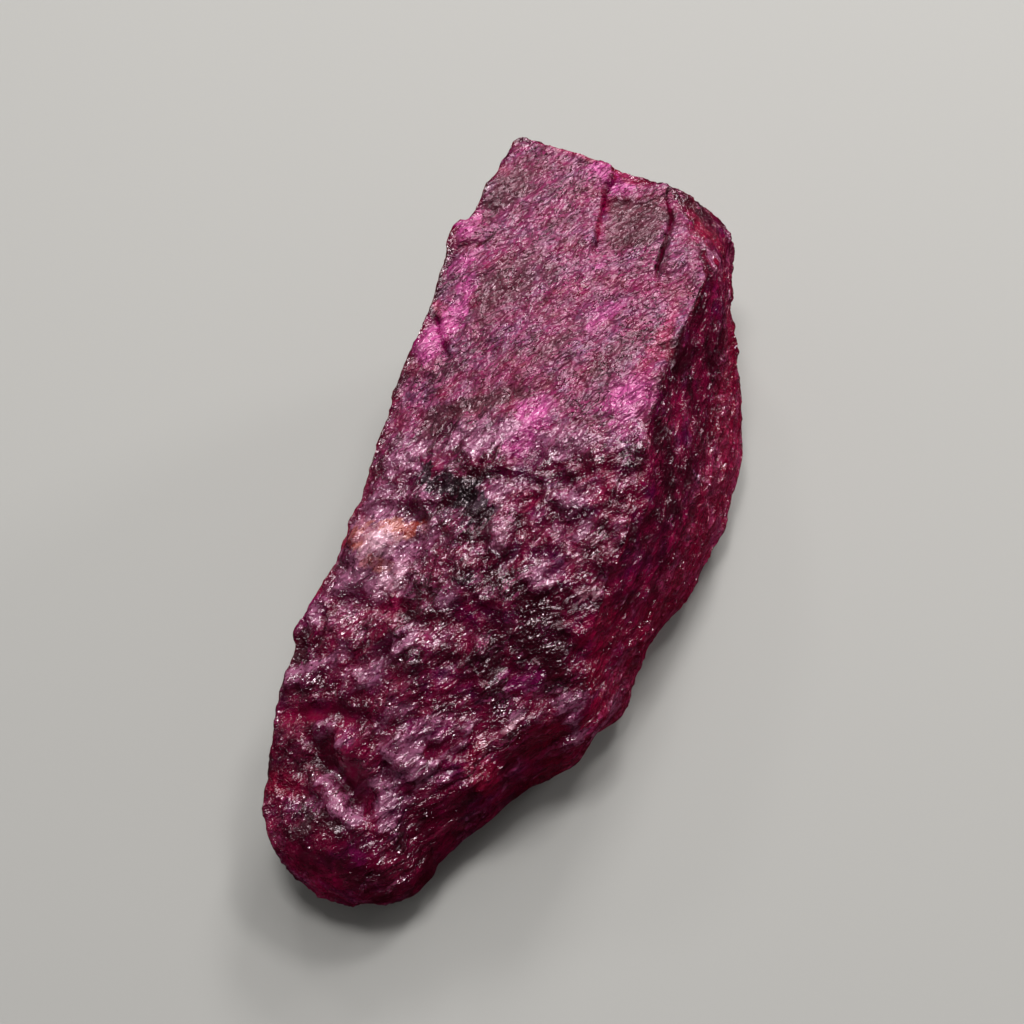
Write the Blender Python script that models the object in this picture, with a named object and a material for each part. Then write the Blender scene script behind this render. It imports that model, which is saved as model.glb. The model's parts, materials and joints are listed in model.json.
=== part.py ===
"""A rough ruby: a broken lump of corundum, long and narrow, with a blunt head and a rounded nose.

The stone lies along Y, its head at +Y and its nose at -Y, and it rests on a flat patch at Z = 0.
Its surface is a function of two parameters: one runs along the stone from the nose to the head, and
the other runs round it, from one lengthwise edge to the next. A few faces where the crystal parted
are cut flat, and then broken relief is raised: named lumps, hollows, furrows and ledges, and between
them a heap of small tilted blocks. All values are millimetres, and the last step turns them to metres.
"""

from itertools import product

import bmesh
import bpy
import numpy as np

MM = 0.001

# The lengthwise edges, in the order in which they go round the stone. Each point is (y, x, z).
LEFT_EDGE = (
    (-25.0, -8.6, 7.5), (-21.0, -9.7, 10.0), (-15.5, -10.1, 12.0), (-12.0, -10.2, 13.0),
    (-9.0, -9.4, 13.8), (-4.0, -9.7, 15.0), (5.0, -10.2, 16.0), (8.5, -9.9, 16.5), (16.5, -10.5, 17.0),
    (18.0, -9.9, 17.0), (24.5, -8.8, 16.5),
)
CROWN = (
    (-25.0, -3.0, 9.8), (-21.0, -2.5, 12.0), (-15.5, -1.0, 14.8), (-10.0, 0.0, 16.8),
    (-4.0, -0.5, 18.5), (3.0, -1.0, 19.2), (10.0, -1.0, 18.8), (24.5, -1.0, 18.2),
)
RIDGE = (
    (-25.0, 1.0, 8.6), (-21.0, 4.0, 9.8), (-17.0, 6.5, 10.8), (-13.0, 8.6, 13.0),
    (-6.0, 9.3, 17.0), (1.5, 8.9, 19.5), (5.5, 8.1, 20.5), (9.0, 7.8, 20.5),
    (16.0, 8.3, 19.5), (20.0, 8.0, 19.0), (24.5, 6.5, 18.0),
)
FLANK = (
    (-25.0, 2.8, 6.0), (-21.0, 5.2, 6.5), (-17.0, 7.6, 7.0), (-13.0, 10.8, 8.0),
    (-6.0, 11.6, 9.0), (0.0, 12.4, 9.5), (5.0, 12.6, 10.0), (11.0, 12.2, 10.0),
    (18.0, 10.9, 10.5), (24.5, 8.2, 11.0),
)
RIGHT_RIM = (
    (-25.0, 3.3, 3.3), (-22.0, 4.8, 3.0), (-18.5, 6.3, 3.0), (-15.0, 9.9, 3.0),
    (-10.0, 12.1, 3.0), (-5.0, 12.2, 3.0), (0.0, 13.9, 3.2), (5.5, 14.2, 3.2),
    (11.0, 14.0, 3.6), (14.0, 13.2, 4.0), (18.0, 12.1, 4.3), (24.5, 8.5, 6.0),
)
RIGHT_FOOT = (
    (-25.0, 1.0, -0.9), (-18.5, 3.8, -0.9), (-15.0, 7.5, -0.9), (-10.0, 10.3, -0.9),
    (0.0, 12.0, -0.9), (11.0, 12.0, -0.9), (18.0, 10.5, -0.9), (24.5, 6.5, -0.9),
)
LEFT_FOOT = (
    (-25.0, -5.0, -0.9), (-15.0, -6.6, -0.9), (0.0, -6.4, -0.9), (11.0, -7.2, -0.9), (24.5, -6.0, -0.9),
)
LEFT_WALL = (
    (-25.0, -8.0, 4.5), (-21.0, -9.0, 5.0), (-12.0, -8.9, 6.0), (0.0, -8.8, 7.5),
    (11.0, -9.2, 8.5), (24.5, -8.4, 8.5),
)
EDGES = (LEFT_EDGE, CROWN, RIDGE, FLANK, RIGHT_RIM, RIGHT_FOOT, LEFT_FOOT, LEFT_WALL)
STEPS_TO_NEXT_EDGE = (11, 11, 9, 7, 3, 8, 5, 7)
EDGE_SOFTENING = 1.2

# The two ends: where each starts, how far it goes on, how square it is, and the (x, z) that it closes on.
NOSE_START, NOSE_LENGTH, NOSE_SQUARENESS = -25.0, 4.9, 2.2
NOSE_MIDDLE = (-2.6, 4.4)
HEAD_START, HEAD_LENGTH, HEAD_SQUARENESS = 24.5, 2.6, 3.5
HEAD_MIDDLE = (0.5, 9.5)

# How wide an end counts when the stations are spread over it, and how many stations there are.
END_RADIUS = 10.0
STATIONS = 78

# Where the middle of the section passes from the nose's to the head's, and where the line through the
# middles ends. The parting faces are cut straight towards that line.
MIDDLE_SHIFT = (-10.0, 10.0)
SPINE_ENDS = (-22.0, 20.0)

# Flat faces where the crystal parted: a point on each, and the way that it faces.
PARTINGS = (
    ((4.6, 22.8, 18.2), (0.60, 0.55, 0.58)),
    ((-2.8, 25.3, 17.0), (0.03, 0.93, 0.35)),
    ((-1.0, 27.0, 8.0), (-0.30, 0.90, -0.30)),
    ((-9.8, 14.0, 12.5), (-0.95, 0.10, -0.30)),
    ((-9.9, -6.0, 9.0), (-0.95, -0.04, -0.31)),
    ((-2.0, -29.3, 3.2), (-0.10, -0.70, -0.70)),
    ((11.5, 16.0, 1.5), (0.70, 0.25, -0.67)),
)

# Lumps and hollows of the upper side: x, y, half length, half width, turn from +X in degrees, height.
LUMPS = (
    (-8.8, 7.4, 2.4, 1.3, 78.0, 0.4),  # smooth lobe on the left edge
    (-9.8, 15.4, 1.8, 0.9, 80.0, 0.3),  # step of the left edge
    (6.2, 19.0, 2.4, 0.9, 78.0, 0.35),  # strip beside the right corner of the head
    (-8.4, -17.8, 1.4, 1.2, 20.0, 0.6),
    (-7.9, -24.2, 1.7, 1.2, 60.0, 0.5),
    (0.6, -21.6, 2.4, 1.6, 10.0, 0.6),  # broad lump on top of the nose
    (0.5, -18.8, 1.6, 1.1, 15.0, 0.6),
    (3.1, -17.8, 1.0, 1.0, 0.0, 0.45),
    (4.6, -20.2, 1.4, 1.0, 40.0, 0.5),
    (2.2, -12.4, 2.0, 1.4, 58.0, 0.5),
    (10.0, -13.2, 3.0, 1.8, 75.0, 0.7),  # shoulder where the right side turns in to the nose
    (-6.2, -8.0, 2.2, 1.6, 50.0, 0.45),
    (6.6, -10.0, 1.9, 1.2, 58.0, 0.5),
    (-1.2, -8.4, 2.0, 1.3, 58.0, 0.5),
)
LUMP_FLATNESS = 1.3
HOLLOWS = (
    (-4.1, -23.4, 2.7, 1.1, -27.0, 0.8),  # scoop across the nose
    (-4.5, -14.4, 1.9, 1.2, 30.0, 0.9),
    (-1.7, -4.7, 1.8, 1.1, -30.0, 0.5),
    (-4.6, -3.8, 1.4, 0.8, -30.0, 0.4),
    (-0.3, 22.0, 0.8, 0.5, 20.0, 0.5),  # pit in the corner of the ledge on the head
    (-0.4, -15.3, 1.6, 1.0, 50.0, 0.7),
    (7.0, -14.5, 1.5, 1.0, 40.0, 0.6),
)

# Furrows: a path of (x, y) points, its half width and its depth.
FURROWS = (
    (((2.9, 24.8), (4.5, 21.5), (4.9, 19.5), (4.9, 16.5)), 0.6, 0.6),
    (((-8.4, 15.2), (-7.2, 17.0)), 0.4, 0.35),
    (((5.8, -0.2), (3.3, -7.4), (2.4, -10.0)), 1.1, 0.7),
    (((-7.0, -19.9), (-2.8, -19.3)), 1.0, 0.7),
    (((-0.8, -19.9), (1.4, -20.0), (3.2, -19.2), (4.9, -17.9)), 0.6, 0.7),
    (((-9.0, -11.5), (-4.0, -11.0), (-1.0, -12.5)), 0.9, 0.5),
)

# Ledges: a path of (x, y) points, the drop on its right side, and how far that takes to fade out.
# The flat face of the head ends at the second one.
HEAD_FACE_END = ((-12.0, -2.0), (-9.0, 0.0), (-3.8, 3.8), (0.4, 5.4), (4.5, 5.4), (9.0, 6.0))
LEDGES = (
    (((-0.9, 24.5), (-0.6, 20.0), (-0.2, 16.0)), 0.5, 5.0),
    (HEAD_FACE_END, 0.6, 7.0),
)
LEDGE_SLOPE_WIDTH = 1.0
FINEST_WIDTH = 0.9

# The heaps of blocks: size, height for each millimetre of size, and a number that tells the heaps apart.
BLOCK_HEAPS = ((5.6, 0.15, 11), (2.9, 0.13, 12))
BLOCK_AXES = ((0.52, 0.80, 0.30), (-0.78, 0.30, 0.55), (0.35, -0.52, 0.78))
BLOCK_TURN = 0.9
BLOCK_SCATTER = 0.8
BLOCK_RISE = 0.6
BLOCK_STEEPNESS = 2.0

# The long swell under them: the same three values. The foot gets little relief, so that it stays flat.
SWELL = (12.0, 0.45, 5)
FOOT_CALM = 0.8

# How much less the surface is broken on the flat top of the head and on the steep band below the ridge.
HEAD_CALM = 0.85
BAND_CALM = 0.7

# The middle of the stone's box, in the coordinates of the edges above.
BOX_MIDDLE = (2.1, -0.85)

RUBY_COLOUR = (0.30, 0.010, 0.090, 1.0)
RUBY_ROUGHNESS = 0.35
RUBY_IOR = 1.77


def ease(low, high, value):
    """0 below low, 1 above high, and a smooth S between them."""
    t = np.clip((value - low) / (high - low), 0.0, 1.0)
    return t * t * (3.0 - 2.0 * t)


def chance(cells, salt):
    """A number from 0 to 1 for each whole-numbered cell, with no pattern, the same in every run."""
    mixed = cells[..., 0] * 374761393 + cells[..., 1] * 668265263 + cells[..., 2] * 1440662683
    mixed = (mixed + salt * 1274126177) & 0xFFFFFFFF
    mixed = ((mixed ^ (mixed >> 13)) * 1274126177) & 0xFFFFFFFF
    mixed = ((mixed ^ (mixed >> 15)) * 668265263) & 0xFFFFFFFF
    return (mixed ^ (mixed >> 16)) / 4294967296.0


def three_chances(cells, salt):
    """Three such numbers for each cell."""
    return np.stack([chance(cells, 3 * salt + axis) for axis in range(3)], axis=-1)


def swell(points, size, salt):
    """Smooth noise from -1 to 1: chance at the corners of cubes of this size, eased between them."""
    cell = np.floor(points / size).astype(np.int64)
    within = ease(0.0, 1.0, points / size - cell)
    total = np.zeros(points.shape[:-1])
    for corner in product((0, 1), repeat=3):
        share = np.prod(np.where(corner, within, 1.0 - within), axis=-1)
        total += share * chance(cell + np.array(corner), salt)
    return 2.0 * total - 1.0


def block_heap(points, size, salt):
    """Heights of a heap of blocks, about -1 to 1: from the middle of each block the height falls evenly
    towards its three pairs of faces, which are turned a little from the crystal's own, and the highest
    block at each point wins. So the tops are flat facets with ridges, and sharp furrows part the blocks."""
    cell = np.floor(points / size).astype(np.int64)
    axes = np.array(BLOCK_AXES)
    highest = np.full(points.shape[:-1], -9.0)
    for neighbour in product((-1, 0, 1), repeat=3):
        block = cell + np.array(neighbour)
        middle = block + 0.5 + BLOCK_SCATTER * (three_chances(block, salt) - 0.5)
        away = points / size - middle
        turn = BLOCK_TURN * (three_chances(block, salt + 100) - 0.5)
        faces = axes + np.cross(turn[..., None, :], axes)
        reach = np.abs((faces * away[..., None, :]).sum(axis=-1)).max(axis=-1)
        top = BLOCK_RISE * chance(block, salt + 200)
        highest = np.maximum(highest, top - BLOCK_STEEPNESS * reach)
    return highest + BLOCK_RISE


def superellipse(start, length, squareness, turns):
    """An end's (y, scale) pairs: scale falls from 1 to 0 as (1 - t^n)^(1/n), where t is the way along it."""
    t = np.sin(turns) ** (2.0 / squareness)
    scale = np.cos(turns) ** (2.0 / squareness)
    return np.column_stack([start + length * t, scale])


def stations(count):
    """Places evenly spaced over the profile from nose to head: their y, and their section's scale there."""
    turns = np.linspace(0.0, np.pi / 2.0, 200)
    nose = superellipse(NOSE_START, -NOSE_LENGTH, NOSE_SQUARENESS, turns)[::-1]
    head = superellipse(HEAD_START, HEAD_LENGTH, HEAD_SQUARENESS, turns)
    profile = np.vstack([nose, head])
    profile[[0, -1], 1] = 0.0
    steps = np.diff(profile * (1.0, END_RADIUS), axis=0)
    way = np.concatenate([[0.0], np.cumsum(np.hypot(*steps.T))])
    even = np.linspace(0.0, way[-1], count)
    return np.interp(even, way, profile[:, 0]), np.interp(even, way, profile[:, 1])


def edge_at(edge, y):
    """(x, z) of a lengthwise edge at each y: straight between its points, and softened a little there."""
    at, x, z = np.array(edge).T
    found = 0.0
    for shift, share in ((-EDGE_SOFTENING, 0.25), (0.0, 0.5), (EDGE_SOFTENING, 0.25)):
        found = found + share * np.stack([np.interp(y + shift, at, x), np.interp(y + shift, at, z)], axis=-1)
    return found


def cleave(points, middle, point, facing):
    """Draws what lies outside a flat face straight back onto it, towards a middle that lies inside."""
    outside = (points - point) @ facing
    inside = (middle - point) @ facing
    share = inside / np.minimum(inside - outside, inside)
    return middle + (points - middle) * share[..., None]


def body(station_count, around):
    """The unbroken body: at each station, straight sides from edge to edge, drawn in to a point at the
    ends, and cut flat where the crystal parted. Around runs from 0 to 8, a whole number at each edge."""
    y, scale = stations(station_count)
    corners = np.stack([edge_at(edge, np.clip(y, NOSE_START, HEAD_START)) for edge in EDGES], axis=1)
    first = np.floor(around).astype(int) % len(EDGES)
    share = (around - np.floor(around))[:, None]
    side = corners[:, first] * (1.0 - share) + corners[:, (first + 1) % len(EDGES)] * share
    to_head = ease(*MIDDLE_SHIFT, y)[:, None, None]
    middle = np.array(NOSE_MIDDLE) * (1.0 - to_head) + np.array(HEAD_MIDDLE) * to_head
    side = middle + (side - middle) * scale[:, None, None]
    lengthwise = np.broadcast_to(y[:, None], side.shape[:2])
    points = np.stack([side[..., 0], lengthwise, side[..., 1]], axis=-1)
    spine_y = np.clip(y, *SPINE_ENDS)[:, None]
    spine = np.stack([middle[..., 0], spine_y, middle[..., 1]], axis=-1)
    for point, facing in PARTINGS:
        points = cleave(points, spine, np.array(point), np.array(facing))
    return points


def outward(points):
    """The direction away from the stone at each point of the grid, square to its neighbours both ways."""
    along = np.gradient(points, axis=0)
    round_it = np.roll(points, -1, axis=1) - np.roll(points, 1, axis=1)
    away = np.cross(round_it, along)
    away[0] = away[1].mean(axis=0)
    away[-1] = away[-2].mean(axis=0)
    away = away / np.linalg.norm(away, axis=-1, keepdims=True)
    for _ in range(2):
        away = away + 0.5 * (np.roll(away, 1, axis=1) + np.roll(away, -1, axis=1))
        away = away / np.linalg.norm(away, axis=-1, keepdims=True)
    return away


def oval(points, x, y, half_length, half_width, turn):
    """Squared distance in plan from the middle of an oval, 1 on its rim."""
    half_width = max(half_width, FINEST_WIDTH)
    turn = np.radians(turn)
    right = points[..., 0] - x
    ahead = points[..., 1] - y
    lengthwise = right * np.cos(turn) + ahead * np.sin(turn)
    across = ahead * np.cos(turn) - right * np.sin(turn)
    return (lengthwise / half_length) ** 2 + (across / half_width) ** 2


def path_distance(points, path):
    """Distance in plan from each point to a path of straight pieces, more than 0 on the path's left."""
    nearest = np.full(points.shape[:-1], 1e9)
    for start, end in zip(path[:-1], path[1:]):
        start, end = np.array(start), np.array(end)
        run = end - start
        away = points[..., :2] - start
        share = np.clip((away @ run) / (run @ run), 0.0, 1.0)
        gap = np.linalg.norm(away - share[..., None] * run, axis=-1)
        side = np.sign(run[0] * away[..., 1] - run[1] * away[..., 0])
        nearest = np.where(gap < np.abs(nearest), gap * side, nearest)
    return nearest


def named_relief(points, away):
    """Height of the lumps, hollows, furrows and ledges that have a place of their own on the upper side."""
    height = np.zeros(points.shape[:-1])
    for *place, rise in LUMPS:
        height += rise * np.clip(LUMP_FLATNESS * (1.0 - oval(points, *place)), 0.0, 1.0)
    for *place, depth in HOLLOWS:
        height -= depth * np.clip(1.0 - oval(points, *place), 0.0, 1.0)
    for path, half_width, depth in FURROWS:
        across = np.abs(path_distance(points, path)) / max(half_width, FINEST_WIDTH)
        height -= depth * np.clip(1.0 - across, 0.0, 1.0)
    height *= ease(-0.1, 0.3, away[..., 2])
    on_top = ease(0.5, 0.8, away[..., 2])
    for path, drop, fade in LEDGES:
        beyond = np.maximum(-path_distance(points, path), 0.0)
        step = ease(0.0, LEDGE_SLOPE_WIDTH, beyond) * (1.0 - ease(0.3 * fade, fade, beyond))
        height -= drop * step * on_top
    return height


def roughness_of(points, away, around):
    """How broken the surface is, from 0 to 1: little on the flat top of the head and on the smooth steep
    band below the right ridge, and all of it elsewhere."""
    face_end = np.interp(points[..., 0], *np.array(HEAD_FACE_END).T)
    head_face = ease(-0.5, 1.5, points[..., 1] - face_end) * ease(0.6, 0.9, away[..., 2])
    ridge, flank = EDGES.index(RIDGE), EDGES.index(FLANK)
    band = ease(ridge, ridge + 0.1, around) * (1.0 - ease(flank - 0.3, flank + 0.1, around))
    band = band * ease(-12.0, -2.0, points[..., 1])
    return 1.0 - HEAD_CALM * head_face - BAND_CALM * band


def broken(points, around):
    """The body with its relief raised along the outward direction."""
    away = outward(points)
    rough = roughness_of(points, away, np.broadcast_to(around, points.shape[:2]))
    height = np.zeros(points.shape[:-1])
    for size, rise, salt in BLOCK_HEAPS:
        height += rise * size * block_heap(points, size, salt) * rough
    size, rise, salt = SWELL
    height += rise * swell(points, size, salt)
    height *= 1.0 - FOOT_CALM * ease(0.5, 0.95, -away[..., 2])
    height += named_relief(points, away)
    return points + away * height[..., None]


def wrapped_sphere(points):
    """A UV sphere with each vertex moved to the point of the grid that has its row and column."""
    rows, columns = points.shape[0] - 1, points.shape[1]
    shape = bmesh.new()
    bmesh.ops.create_uvsphere(shape, u_segments=columns, v_segments=rows, radius=1.0)
    for vertex in shape.verts:
        column = round(np.arctan2(vertex.co.y, vertex.co.x) / (2.0 * np.pi) * columns) % columns
        row = round((1.0 - np.arccos(np.clip(vertex.co.z, -1.0, 1.0)) / np.pi) * rows)
        vertex.co = points[row, column] * MM
    return shape


def flatten_foot(shape):
    """Cuts off what lies below the ground, which leaves one flat patch to rest on."""
    everything = shape.verts[:] + shape.edges[:] + shape.faces[:]
    bmesh.ops.bisect_plane(shape, geom=everything, plane_co=(0, 0, 0), plane_no=(0, 0, 1), clear_inner=True)
    rim = [edge for edge in shape.edges if edge.is_boundary]
    bmesh.ops.holes_fill(shape, edges=rim, sides=0)
    bmesh.ops.recalc_face_normals(shape, faces=shape.faces)


def ruby_material():
    """Rough corundum: deep red, broken and so only half glossy, and of high refractive index."""
    material = bpy.data.materials.new("rough corundum, ruby red")
    material.use_nodes = True
    shader = material.node_tree.nodes["Principled BSDF"]
    shader.inputs["Base Color"].default_value = RUBY_COLOUR
    shader.inputs["Metallic"].default_value = 0.0
    shader.inputs["Roughness"].default_value = RUBY_ROUGHNESS
    shader.inputs["IOR"].default_value = RUBY_IOR
    return material


def build_ruby():
    """The whole stone as one closed solid, with its foot flat on the ground under the middle of its box."""
    edge_steps = np.cumsum((0,) + STEPS_TO_NEXT_EDGE)
    around = np.interp(np.arange(edge_steps[-1]), edge_steps, np.arange(len(EDGES) + 1))
    points = broken(body(STATIONS + 1, around), around)
    points[..., :2] -= BOX_MIDDLE
    shape = wrapped_sphere(points)
    flatten_foot(shape)
    mesh = bpy.data.meshes.new("ruby")
    shape.to_mesh(mesh)
    shape.free()
    mesh.materials.append(ruby_material())
    ruby = bpy.data.objects.new("ruby", mesh)
    bpy.context.scene.collection.objects.link(ruby)
    return ruby


def main():
    for thing in list(bpy.data.objects):
        bpy.data.objects.remove(thing, do_unlink=True)
    ruby = build_ruby()
    places = np.array([vertex.co[:] for vertex in ruby.data.vertices]) / MM
    print("box from", places.min(axis=0).round(2), "to", places.max(axis=0).round(2))


main()
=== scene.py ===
# %% [markdown]
# # A rough ruby
#
# This notebook dresses a rough ruby: a broken lump of red corundum, 58 mm long, with a blunt flat-topped
# head, a steep ridge down its right side and a hackly nose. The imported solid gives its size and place.
# Over it goes a much finer skin, a function of two parameters, and a material in real sizes.

import json
from functools import partial
from itertools import product

import bpy
import numpy as np
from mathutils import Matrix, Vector

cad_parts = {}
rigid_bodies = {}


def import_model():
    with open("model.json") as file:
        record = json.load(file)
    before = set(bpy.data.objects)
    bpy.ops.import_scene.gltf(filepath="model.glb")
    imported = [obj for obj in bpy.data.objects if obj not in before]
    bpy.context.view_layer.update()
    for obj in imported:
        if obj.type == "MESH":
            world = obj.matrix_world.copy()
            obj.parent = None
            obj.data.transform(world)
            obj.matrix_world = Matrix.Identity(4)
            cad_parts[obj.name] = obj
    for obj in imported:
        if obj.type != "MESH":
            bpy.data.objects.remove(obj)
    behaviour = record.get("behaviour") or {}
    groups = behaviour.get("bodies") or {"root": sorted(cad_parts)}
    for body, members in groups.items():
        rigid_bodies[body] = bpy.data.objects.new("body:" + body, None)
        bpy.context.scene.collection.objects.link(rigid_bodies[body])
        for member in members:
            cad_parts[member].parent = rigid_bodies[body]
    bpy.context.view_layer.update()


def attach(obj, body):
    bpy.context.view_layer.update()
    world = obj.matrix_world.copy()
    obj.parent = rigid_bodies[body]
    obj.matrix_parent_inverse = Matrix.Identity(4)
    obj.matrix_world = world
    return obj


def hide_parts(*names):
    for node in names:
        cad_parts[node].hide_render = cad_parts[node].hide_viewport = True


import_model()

# %% [markdown]
# ## The body
#
# A stone that broke out of a bigger crystal has long, nearly flat sides that meet in edges. It could be
# sculpted, or carved from a block. Here its eight lengthwise edges are lines, the same as the solid's, in
# millimetres. The surface between them is a function of how far along the stone it is, and how far round.

# %% The lengthwise edges
MM = 0.001

# Each point is (y, x, z). The stone lies along Y, with its head at +Y.
LEFT_EDGE = (
    (-25, -8.6, 7.5), (-21, -9.7, 10), (-15.5, -10.1, 12), (-12, -10.2, 13),
    (-9, -9.4, 13.8), (-4, -9.7, 15), (5, -10.2, 16), (8.5, -9.9, 16.5), (16.5, -10.5, 17),
    (18, -9.9, 17), (24.5, -8.8, 16.5),
)
CROWN = (
    (-25, -3, 9.8), (-21, -2.5, 12), (-15.5, -1, 14.8), (-10, 0, 16.8),
    (-4, -0.5, 18.5), (3, -1, 19.2), (10, -1, 18.8), (24.5, -1, 18.2),
)
RIDGE = (
    (-25, 1, 8.6), (-21, 4, 9.8), (-17, 6.5, 10.8), (-13, 8.6, 13),
    (-6, 9.3, 17), (1.5, 8.9, 19.5), (5.5, 8.1, 20.5), (9, 7.8, 20.5),
    (16, 8.3, 19.5), (20, 8, 19), (24.5, 6.5, 18),
)
FLANK = (
    (-25, 2.8, 6), (-21, 5.2, 6.5), (-17, 7.6, 7), (-13, 10.8, 8),
    (-6, 11.6, 9), (0, 12.4, 9.5), (5, 12.6, 10), (11, 12.2, 10),
    (18, 10.9, 10.5), (24.5, 8.2, 11),
)
RIGHT_RIM = (
    (-25, 3.3, 3.3), (-22, 4.8, 3), (-18.5, 6.3, 3), (-15, 9.9, 3),
    (-10, 12.1, 3), (-5, 12.2, 3), (0, 13.9, 3.2), (5.5, 14.2, 3.2),
    (11, 14, 3.6), (14, 13.2, 4), (18, 12.1, 4.3), (24.5, 8.5, 6),
)
RIGHT_FOOT = (
    (-25, 1, -0.9), (-18.5, 3.8, -0.9), (-15, 7.5, -0.9), (-10, 10.3, -0.9),
    (0, 12, -0.9), (11, 12, -0.9), (18, 10.5, -0.9), (24.5, 6.5, -0.9),
)
LEFT_FOOT = (
    (-25, -5, -0.9), (-15, -6.6, -0.9), (0, -6.4, -0.9), (11, -7.2, -0.9), (24.5, -6, -0.9),
)
LEFT_WALL = (
    (-25, -8, 4.5), (-21, -9, 5), (-12, -8.9, 6), (0, -8.8, 7.5),
    (11, -9.2, 8.5), (24.5, -8.4, 8.5),
)
EDGES = (LEFT_EDGE, CROWN, RIDGE, FLANK, RIGHT_RIM, RIGHT_FOOT, LEFT_FOOT, LEFT_WALL)
EDGE_SOFTENING = 1.2

# Columns of the grid from each edge to the next: most of them where the stone is looked at.
COLUMNS_TO_NEXT_EDGE = (84, 84, 56, 40, 14, 10, 22, 30)
ROWS = 294

# The middle of the stone's box, in the coordinates of the edges.
BOX_MIDDLE = (2.1, -0.85)


def ease(low, high, value):
    """0 below low, 1 above high, and 3t^2 - 2t^3 between them."""
    t = np.clip((value - low) / (high - low), 0.0, 1.0)
    return t * t * (3.0 - 2.0 * t)


def edge_at(edge, y):
    """(x, z) of an edge at each y: straight between its points, averaged over 1.2 mm to each side."""
    at, x, z = np.array(edge).T
    found = 0.0
    for shift, share in ((-EDGE_SOFTENING, 0.25), (0.0, 0.5), (EDGE_SOFTENING, 0.25)):
        found = found + share * np.stack([np.interp(y + shift, at, x), np.interp(y + shift, at, z)], axis=-1)
    return found


print("edges round the stone:", len(EDGES), "columns:", sum(COLUMNS_TO_NEXT_EDGE))

# %% [markdown]
# ### The two ends
#
# The head of the stone is blunt, as broken across, and the nose is rounded. A cap could be modelled for
# each, but a section that shrinks along a superellipse, |t|^n + |s|^n = 1, closes an end in the same
# grid: n = 2 is round, and a bigger n is blunter.

# %% Draw in the ends
NOSE_START, NOSE_LENGTH, NOSE_SQUARENESS = -25.0, 4.9, 2.2
NOSE_MIDDLE = (-2.6, 4.4)
HEAD_START, HEAD_LENGTH, HEAD_SQUARENESS = 24.5, 2.6, 3.5
HEAD_MIDDLE = (0.5, 9.5)
END_RADIUS = 7.0
MIDDLE_SHIFT = (-10.0, 10.0)
SPINE_ENDS = (-22.0, 20.0)
PROFILE_STEPS = 200


def superellipse(start, length, squareness, turns):
    """An end's (y, s) pairs for angles a from 0 to 90 degrees: t = sin(a)^(2/n), s = cos(a)^(2/n)."""
    t = np.sin(turns) ** (2.0 / squareness)
    scale = np.cos(turns) ** (2.0 / squareness)
    return np.column_stack([start + length * t, scale])


def stations(count):
    """Places evenly spaced over the profile from nose to head: their y, and their section's scale there."""
    turns = np.linspace(0.0, np.pi / 2.0, PROFILE_STEPS)
    nose = superellipse(NOSE_START, -NOSE_LENGTH, NOSE_SQUARENESS, turns)[::-1]
    head = superellipse(HEAD_START, HEAD_LENGTH, HEAD_SQUARENESS, turns)
    profile = np.vstack([nose, head])
    profile[[0, -1], 1] = 0.0
    steps = np.diff(profile * (1.0, END_RADIUS), axis=0)
    way = np.concatenate([[0.0], np.cumsum(np.hypot(*steps.T))])
    even = np.linspace(0.0, way[-1], count)
    return np.interp(even, way, profile[:, 0]), np.interp(even, way, profile[:, 1])


# %% [markdown]
# ### Flat partings
#
# Corundum parts along flat planes, and some of those faces are on this stone: the bevelled corner of the
# head, its end, the undercut left side and the underside of the nose. A Boolean with a big block could cut
# each. Sliding the grid's own points onto the plane keeps one clean grid.

# %% Cut the flat faces
# A point on each face, and the way that it faces.
PARTINGS = (
    ((4.6, 22.8, 18.2), (0.60, 0.55, 0.58)),
    ((-2.8, 25.3, 17), (0.03, 0.93, 0.35)),
    ((-1, 27, 8), (-0.30, 0.90, -0.30)),
    ((-9.8, 14, 12.5), (-0.95, 0.10, -0.30)),
    ((-9.9, -6, 9), (-0.95, -0.04, -0.31)),
    ((-2, -29.3, 3.2), (-0.10, -0.70, -0.70)),
    ((11.5, 16, 1.5), (0.70, 0.25, -0.67)),
)


def cleave(points, middle, point, facing):
    """Draws each point p outside a flat face back onto it, towards a middle m inside it, to
    m + (p - m) * inside / (inside - outside), the two distances from the face."""
    outside = (points - point) @ facing
    inside = (middle - point) @ facing
    share = inside / np.minimum(inside - outside, inside)
    return middle + (points - middle) * share[..., None]


def body(station_count, around):
    """The unbroken body P(y, a): corner k of the section at y for a = k, straight between the corners,
    shrunk towards the middle by the scale at y, and cut flat where the crystal parted."""
    y, scale = stations(station_count)
    corners = np.stack([edge_at(edge, np.clip(y, NOSE_START, HEAD_START)) for edge in EDGES], axis=1)
    first = np.floor(around).astype(int) % len(EDGES)
    share = (around - np.floor(around))[:, None]
    side = corners[:, first] * (1.0 - share) + corners[:, (first + 1) % len(EDGES)] * share
    to_head = ease(*MIDDLE_SHIFT, y)[:, None, None]
    middle = np.array(NOSE_MIDDLE) * (1.0 - to_head) + np.array(HEAD_MIDDLE) * to_head
    side = middle + (side - middle) * scale[:, None, None]
    lengthwise = np.broadcast_to(y[:, None], side.shape[:2])
    points = np.stack([side[..., 0], lengthwise, side[..., 1]], axis=-1)
    spine_y = np.clip(y, *SPINE_ENDS)[:, None]
    spine = np.stack([middle[..., 0], spine_y, middle[..., 1]], axis=-1)
    for point, facing in PARTINGS:
        points = cleave(points, spine, np.array(point), np.array(facing))
    return points


first_columns = np.cumsum((0,) + COLUMNS_TO_NEXT_EDGE)
around = np.interp(np.arange(first_columns[-1]), first_columns, np.arange(len(EDGES) + 1))
plain_body = body(ROWS, around)
print("plain body:", plain_body.shape[0], "rows of", plain_body.shape[1], "points")


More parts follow.
